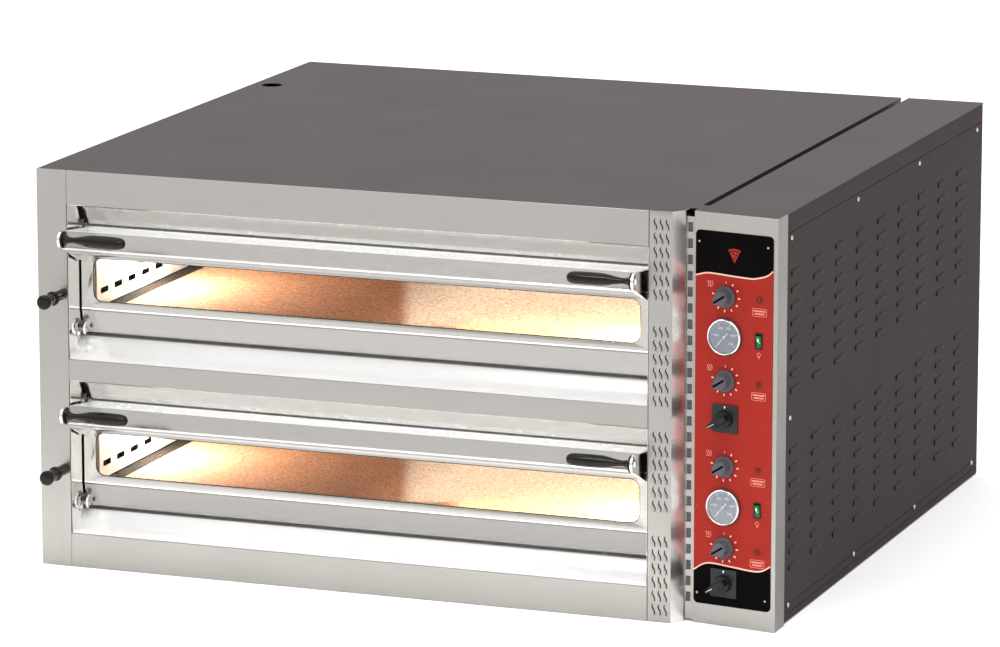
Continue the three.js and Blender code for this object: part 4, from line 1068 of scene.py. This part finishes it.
def cam_switches():
    for level, z in CAMS.items():
        plate = Part(PANEL)
        loops = [centred(CAM_X, z, 24.5, 24.5, 2.5, 4), disc(CAM_X, z, 5, 24)]
        plate.plate(loops, PLATE_FACE + 0.05, 3.9, SWITCH_PLASTIC)
        plate.finish(f"{level}_switch_plate", "case", bevel=0.5)
        mark = Part(PANEL)
        mark.plate([rounded_rectangle(CAM_X - 1.1, CAM_X + 1.1, z + 18.5, z + 22.8, 0.5, 3)], 3.88, 3.98,
                   WHITE_PRINT)
        mark.finish(f"{level}_switch_mark", "case")
        part = Part(PANEL)
        turn = pointer_turn(CAM_X, z, SWITCH_ANGLE)
        part.lathe([(0, 4.5), (14.6, 4.5), (15, 5), (15, 9.6), (13.8, 11.6), (12, 12.2), (0, 12.2)],
                   BLACK_PLASTIC,
                   turn, 48)
        outline = rounded_line([(0, -6.2), (14, -6.4), (29, -2.2), (29, 2.2), (14, 6.4), (-13, 5.6),
                                (-13, -5.6),
                                (0, -6.2)], 2.0)
        layers = []
        for shrink, height in ((1.0, 10.0), (0.98, 22.0), (0.93, 24.4), (0.84, 25.0), (0.0, 25.0)):
            layers.append([(px * (shrink if px < 20 else shrink ** 0.3), py * shrink, height) for px,
                           py in outline])
        part.grid([[(0, 0, 10.0)] * len(outline), *layers], BLACK_PLASTIC, turn, closed=True)
        part.plate([[(12, -0.8), (27, -0.6), (27, 0.6), (12, 0.8)]], 24.9, 25.0, WHITE_PRINT, turn)
        part.lathe([(0, -11), (3, -11), (3, 5), (0, 5)], SCREW_STEEL, turn, 16)
        part.finish(f"{level}_switch_lever", f"{level}_switch", [f"{level}_switch_knob"],
                    sharp=40)


SCALE_SWEEP = radians(270)
SCALE_STEPS = 50


def number(part, value, x, y, size, height, material):
    """Dial figures, filled flat and centred on a point."""
    curve = bpy.data.curves.new("figures", "FONT")
    curve.body = str(value)
    curve.size = size
    curve.align_x = "CENTER"
    curve.align_y = "CENTER"
    curve.extrude = 0.05
    curve.resolution_u = 3
    piece = bpy.data.objects.new("figures", curve)
    bpy.context.scene.collection.objects.link(piece)
    mesh = piece.to_mesh()
    points = [tuple(v.co) for v in mesh.vertices]
    faces = [tuple(p.vertices) for p in mesh.polygons]
    part.add(points, faces, material, at(x, y, height))
    piece.to_mesh_clear()
    bpy.data.objects.remove(piece)
    bpy.data.curves.remove(curve)


def gauges():
    for level, z in GAUGES.items():
        case = Part(PANEL)
        here = at(GAUGE_X, z)
        ring = [(0, -30), (26.6, -30), (27, -29.4), (27, 1.4), (31.4, 1.4), (32, 2.2), (32, 6.2),
                (31.4, 8.0),
                (30, 9.0), (28.8, 8.6), (28.2, 7.4), (28.2, 3.0), (0, 3.0)]
        case.lathe(ring, CHROME, here, 72)
        # a thin near-black ring round the bezel: painted shadow
        case.lathe([(31.0, 1.15), (33.2, 1.15), (33.0, 2.2), (31.0, 2.4), (31.0, 1.15)], BLACK_SEAL_AND_SHADE, here, 72)
        case.finish(f"{level}_thermometer", "case", [f"{level}_gauge_case"], sharp=50)
        face = Part(PANEL)
        face.plate([disc(GAUGE_X, z, 28.0, 64)], 3.02, 3.3, DIAL)
        for step in range(SCALE_STEPS + 1):
            angle = NEEDLE_ANGLE - SCALE_SWEEP * step / SCALE_STEPS
            major = step % 10 == 0
            inner, half = (20.5, 0.45) if major else (23.2 if step % 5 == 0 else 24.2, 0.2)
            turn = here @ Matrix.Rotation(angle, 4, "Z")
            face.plate([[(inner, -half), (26.4, -half), (26.4, half), (inner, half)]], 3.28, 3.38,
                       WHITE_PRINT, turn)
            if major:
                x, y = GAUGE_X + 16.3 * cos(angle), z + 16.3 * sin(angle)
                number(face, step * 10, x, y, 6.4, 3.34, WHITE_PRINT)
        face.lathe([(0, 3.28), (3.4, 3.28), (3.2, 4.1), (0, 4.2)], BLACK_PLASTIC, here, 24)
        face.finish(f"{level}_thermometer_dial", "case")
        needle = Part(PANEL)
        turn = pointer_turn(GAUGE_X, z, NEEDLE_ANGLE)
        needle.plate([[(-9, -1.3), (-3, -0.9), (23, -0.4), (23, 0.4), (-3, 0.9), (-9, 1.3)]], 4.3, 4.8,
                     WHITE_PRINT,
                     turn)
        needle.lathe([(0, 4.2), (2.8, 4.2), (2.8, 5.2), (2.0, 5.9), (0, 6.0)], WHITE_PRINT, turn, 24)
        needle.finish(f"{level}_thermometer_needle", f"{level}_needle",
                      [f"{level}_gauge_needle"])
        lens = Part(PANEL)
        lens.lathe([(0, 6.9), (28.1, 6.4), (28.1, 7.2), (20, 7.8), (10, 8.2), (0, 8.3)], GAUGE_GLASS,
                   here, 48)
        lens.finish(f"{level}_thermometer_glass", "case")


def rockers():
    for level, z in ROCKERS.items():
        frame_part = Part(PANEL)
        outer = centred(ROCKER_X, z, 7, 14, 1.6, 4)
        inner = centred(ROCKER_X, z, 5.0, 11.6, 0.6, 3)
        frame_part.plate([outer, inner], PLATE_FACE + 0.05, 2.6, BLACK_PLASTIC)
        frame_part.finish(f"{level}_rocker_bezel", "case", bevel=0.3)
        part = Part(CONTROL @ at(ROCKER_X, 3, z) @ Matrix.Rotation(radians(10), 4, "X") @ at(0, -3, 0))
        steps = 12
        rows = []
        for i in range(steps + 1):
            t = 2 * i / steps - 1
            rows.append([(-4.5, -2.4 - 2.1 * t * t, 10.4 * t), (4.5, -2.4 - 2.1 * t * t, 10.4 * t),
                         (4.5, 6.8, 8.4 * t), (-4.5, 6.8, 8.4 * t)])
        ends = [[(0, 0, -9.6)] * 4, *rows, [(0, 0, 9.6)] * 4]
        part.grid(ends, GREEN_LENS, closed=True)
        ribs = Matrix.Rotation(pi / 2, 4, "X")
        for x, low, high in ((-0.7, 0.4, 6.4), (0.7, -6.4, -0.4)):
            part.plate([rounded_rectangle(x - 1.5, x + 1.5, low, high, 1.2, 3)], 2.0,
                       2.5 + high * high * 0.045,
                       LIT_WINDOW, ribs)
        part.plate([rounded_rectangle(-0.6, 0.6, 3.6, 5.2, 0.5, 3)], 3.2, 4.0, WHITE_PRINT, ribs)
        part.finish(f"{level}_lit_rocker", f"{level}_rocker_switch", [f"{level}_rocker"],
                    bevel=0.35,
                    sharp=30)


def pilot_lamps():
    part = Part(PANEL)
    for z in THERMOSTATS.values():
        here = at(LAMP_X, z)
        part.lathe([(0, 1.15), (5.6, 1.15), (5.6, 1.9), (5.1, 2.4), (4.4, 2.5), (0, 2.5)], LENS_RING,
                   here, 32)
        part.lathe([(0, 2.4), (4.3, 2.4), (4.3, 3.2), (3.4, 4.3), (1.8, 4.9), (0, 5.1)], RED_LENS, here, 32)
    part.finish("pilot_lamps", "case")


WAVE_TOP = [(0, 608), (4, 608), (22, 613), (38, 613.6), (70, 612), (102, 611), (115, 611.5), (138, 618),
            (150, 628),
            (153, 630)]
WAVE_BOTTOM = [(0, 93), (5, 93), (20, 103), (38, 107), (78, 104.5), (117, 102), (135, 105), (148, 113),
               (153, 116)]
WAVE_WIDTH = 2.6


def wave_line(points):
    return smooth_profile([(x + 0.001, z) for x, z in points], 5)


def clipped(line, x0, x1):
    """The part of a line between two positions, carried level to both."""
    inside = [(x, z) for x, z in line if x0 + 0.2 < x < x1 - 0.2]
    return [(x0, inside[0][1]), *inside, (x1, inside[-1][1])]


def panel_print():
    """Ink on the control plate: black ends, pale waves, scales, symbols and lamp frames."""
    x0, x1, z0, z1 = (PLATE[0] + 0.05, PLATE[1] - 0.05, PLATE[2] + 0.05, PLATE[3] - 0.05)
    radius = PLATE_RADIUS
    ink, over = (PLATE_FACE + 0.01, PLATE_FACE + 0.07), (PLATE_FACE + 0.02, PLATE_FACE + 0.10)
    outline = rounded_rectangle(x0, x1, z0, z1, radius, 6)
    half = len(outline) // 2
    top_wave = clipped(wave_line(WAVE_TOP), x0, x1)
    bottom_wave = clipped(wave_line(WAVE_BOTTOM), x0, x1)
    cam_hole = disc(CAM_X, CAMS["lower"], 4.5)
    black = Part(PANEL)
    black.plate([outline[:half] + top_wave], *ink, BLACK_PRINT)
    black.plate([outline[half:] + bottom_wave[::-1], cam_hole], *ink, BLACK_PRINT)
    black.finish("printed_black_ends", "case")
    pale = Part(PANEL)
    for line, side in ((top_wave, -1), (bottom_wave, 1)):
        other = [(x, z + side * WAVE_WIDTH) for x, z in line]
        pale.plate([line + other[::-1]], *over, PALE_PRINT)
    for z in THERMOSTATS.values():
        for mark in range(10):
            angle = pi / 2 - radians(30.9) * mark
            turn = at(THERMOSTAT_X, z) @ Matrix.Rotation(angle, 4, "Z")
            half = 0.5 if mark == 0 else 1.2
            pale.plate([rounded_rectangle(22.6, 26.8, -half, half, 0.45, 3)], *over, PALE_PRINT, turn)
        heat_symbol(pale, 30.5, z + 21, over)
        lamp_frame(pale, LAMP_X, z - 21, over)
    for z in ROCKERS.values():
        bulb_symbol(pale, ROCKER_X, z - 25, over)
    pale.finish("printed_marks", "case")
    emblem(over)


def heat_symbol(part, x, z, ink):
    """A small heating sign: a bar under two short waves."""
    part.plate([rounded_rectangle(x - 4.5, x + 4.5, z - 5.6, z - 4.4, 0.4, 2)], *ink, PINK_PRINT)
    for shift in (-3.6, 0.2, 4.0):
        line = [(x + shift + 0.9 * sin(2 * pi * t / 8), z - 3.0 + 7.6 * t / 8) for t in range(9)]
        part.plate([line + [(px + 1.3, pz) for px, pz in line[::-1]]], *ink, PINK_PRINT)


def lamp_frame(part, x, z, ink):
    """A rounded frame round two plain bars."""
    outer = centred(x, z, 13.6, 7, 2.6, 4)
    inner = centred(x, z, 12.8, 6.2, 1.9, 4)
    part.plate([outer, inner], *ink, PINK_PRINT)
    for shift, half in ((2.4, 11.2), (-2.4, 9.4)):
        part.plate([centred(x, z + shift, half, 1.3, 0.5, 2)], *ink, PINK_PRINT)


def bulb_symbol(part, x, z, ink):
    part.plate([disc(x, z + 1.5, 3.6, 20), disc(x, z + 1.5, 2.7, 20)], *ink, PINK_PRINT)
    part.plate([rounded_rectangle(x - 1.5, x + 1.5, z - 4.2, z - 2.6, 0.4, 2)], *ink, PINK_PRINT)
    part.plate([rounded_rectangle(x - 1.1, x + 1.1, z - 5.6, z - 4.8, 0.3, 2)], *ink, PINK_PRINT)


def emblem(ink):
    """A plain pizza slice: a strip of crust over a spotted wedge."""
    part = Part(PANEL)
    x, z = (PLATE[0] + PLATE[1]) / 2, 648.0
    crust, rim = arc(x, z - 16, 26, 62, 56), arc(x, z - 16, 22.5, 62, 56)
    part.plate([crust + rim[::-1]], *ink, RED_PLATE)
    slice_line = arc(x, z - 16, 21, 64, 52)
    part.plate([slice_line + [(x, z - 15)], disc(x - 2.6, z + 0.8, 1.7, 14),
                disc(x + 3.2, z - 1.6, 1.7, 14),
                disc(x - 0.4, z - 7.5, 1.5, 14)], *ink, RED_PLATE)
    part.finish("printed_slice", "case")


def plate_screws():
    part = Part(PANEL)
    for z in PLATE_SCREWS_Z:
        for x in PLATE_SCREWS_X:
            on_black = z > WAVE_TOP[0][1] or z < WAVE_BOTTOM[0][1]
            screw(part, at(x, z, PLATE_FACE + 0.1), 2.0, 1.3, SCREW_STEEL if on_black else DULL_SCREW,
                  x + z)
    part.finish("control_plate_screws", "case")


# ---- stage ----
CAMERA_PLACE = (3.5305, -9.5107, 2.4876)
CAMERA_AZIMUTH = radians(-20.63)
CAMERA_ELEVATION = radians(11.82)
LENS_MM = 203.89
SENSOR_MM = 36.0
SKY_STOPS = ((0.002, 0.62), (0.12, 0.50), (0.22, 0.42), (0.37, 0.64), (0.47, 0.64), (0.62, 0.90),
             (0.998, 1.0))
SKY_STRENGTH = 1.8
FILL_WATTS = 6.5
STRIP_WATTS = 45.0
LAMP_WATTS = 3.8
LAMP_COLOUR = (1.0, 0.98, 0.90)
EMBER = {"watts": 0.26, "colour": (1.0, 0.5, 0.33), "place": ((CHAMBER[0] + CHAMBER[1]) / 2, 640, 194),
         "size": (1.0, 0.9)}
VEIL = {"watts": 2.0, "colour": (0.46, 0.80, 1.0), "place": (98.0, 496.0, 196.0), "size": (0.52, 0.56),
        "spread": radians(20), "turn": radians(21)}
APRON = {"watts": 0.7, "colour": (1.0, 0.95, 0.66), "place": (240.0, 205.0, 196.0), "size": (0.38, 0.15),
         "spread": radians(35)}


def camera():
    data = bpy.data.cameras.new("camera")
    data.lens = LENS_MM
    data.sensor_width = SENSOR_MM
    data.clip_end = 200.0
    seen = bpy.data.objects.new("camera", data)
    seen.location = CAMERA_PLACE
    seen.rotation_euler = (pi / 2 - CAMERA_ELEVATION, 0, -CAMERA_AZIMUTH)
    bpy.context.scene.collection.objects.link(seen)
    bpy.context.scene.camera = seen


def lamp(name, kind, place, energy, colour=(1, 1, 1), aim=None, **settings):
    data = bpy.data.lights.new(name, kind)
    data.energy = energy
    data.color = colour
    for key, value in settings.items():
        setattr(data, key, value)
    light = bpy.data.objects.new(name, data)
    light.location = place
    if aim is not None:
        light.rotation_euler = (Vector(aim) - Vector(place)).to_track_quat("-Z", "Y").to_euler()
    bpy.context.scene.collection.objects.link(light)
    return light


def floor():
    part = bmesh.new()
    bmesh.ops.create_grid(part, x_segments=24, y_segments=24, size=60.0)
    mesh = bpy.data.meshes.new("floor")
    part.to_mesh(mesh)
    part.free()
    mesh.materials.append(surface("pale_floor", (0.90, 0.895, 0.89), 0.8, 0.005, 0.5, 40.0, 0.1,
                                  Emission_Color=(1.0, 1.0, 1.0, 1.0), Emission_Strength=0.15,
                                  Specular_IOR_Level=0.0))
    ground = bpy.data.objects.new("floor", mesh)
    ground.location.z = -0.0005
    bpy.context.scene.collection.objects.link(ground)


def sky():
    """Soft studio: pale walls, a greyer band above them, and a bright ceiling."""
    world = bpy.data.worlds.new("studio")
    bpy.context.scene.world = world
    world.use_nodes = True
    tree = world.node_tree
    direction = tree.nodes.new("ShaderNodeTexCoord")
    parts = tree.nodes.new("ShaderNodeSeparateXYZ")
    ramp = tree.nodes.new("ShaderNodeValToRGB")
    ramp.color_ramp.interpolation = "EASE"
    stops = ramp.color_ramp.elements
    for place, value in SKY_STOPS:
        stop = stops.new(place)
        stop.color = (value, value, value, 1.0)
    stops.remove(stops[0])
    stops.remove(stops[-1])
    tree.links.new(direction.outputs["Generated"], parts.inputs[0])
    tree.links.new(parts.outputs["Z"], ramp.inputs["Fac"])
    background = tree.nodes["Background"]
    tree.links.new(ramp.outputs["Color"], background.inputs["Color"])
    background.inputs["Strength"].default_value = SKY_STRENGTH


def chamber_light(level, name, look):
    """A downward area light under one chamber's ceiling."""
    more = {"spread": look["spread"]} if "spread" in look else {}
    light = lamp(f"{level}_{name}", "AREA", DECK[level] @ Vector(look["place"]), look["watts"],
                 look["colour"],
                 shape="RECTANGLE", size=look["size"][0], size_y=look["size"][1], **more)
    light.rotation_euler.z = look.get("turn", 0.0)


def studio():
    sky()
    for level in LEVELS:
        for side in SIDES:
            x, y, z = LAMPS[side]
            place = DECK[level] @ Vector((x * 0.97, y, z))
            lamp(f"{level}_{side}_glow", "POINT", place, LAMP_WATTS, LAMP_COLOUR, shadow_soft_size=0.02)
        chamber_light(level, "ember", EMBER)
        chamber_light(level, "veil", VEIL)
        chamber_light(level, "apron", APRON)
    near = FRONT - 0.38
    fill = lamp("front_fill", "AREA", (0, near, 0.9), FILL_WATTS, (1, 1, 1), (0, near, 0),
                shape="RECTANGLE", size=2.6,
                size_y=0.5, spread=radians(70))
    fill.visible_glossy = False
    strip = lamp("strip_light", "AREA", (0, -3.0, 3.0), STRIP_WATTS, (1, 1, 1), (0, FRONT, 0.35),
                 shape="RECTANGLE",
                 size=2.0, size_y=0.09)
    strip.visible_diffuse = False
    view = bpy.context.scene.view_settings
    view.view_transform = "Standard"
    view.look = "None"


dress_case()
vent_pillar()
side_panel()
case_screws()
left_panel()
rear_cover()
gap_backing()
for deck_level in LEVELS:
    recess_lining(deck_level)
    door_front(deck_level)
    door_arms(deck_level)
    door_handles(deck_level)
    window_seal(deck_level)
    mouth_seal(deck_level)
    stone_edges(deck_level)
    slot_rims(deck_level)
    hinge_brackets(deck_level)
    pull_knob(deck_level)
    chamber_lamps(deck_level)
thermostats()
cam_switches()
gauges()
rockers()
pilot_lamps()
panel_print()
plate_screws()
camera()
floor()
studio()
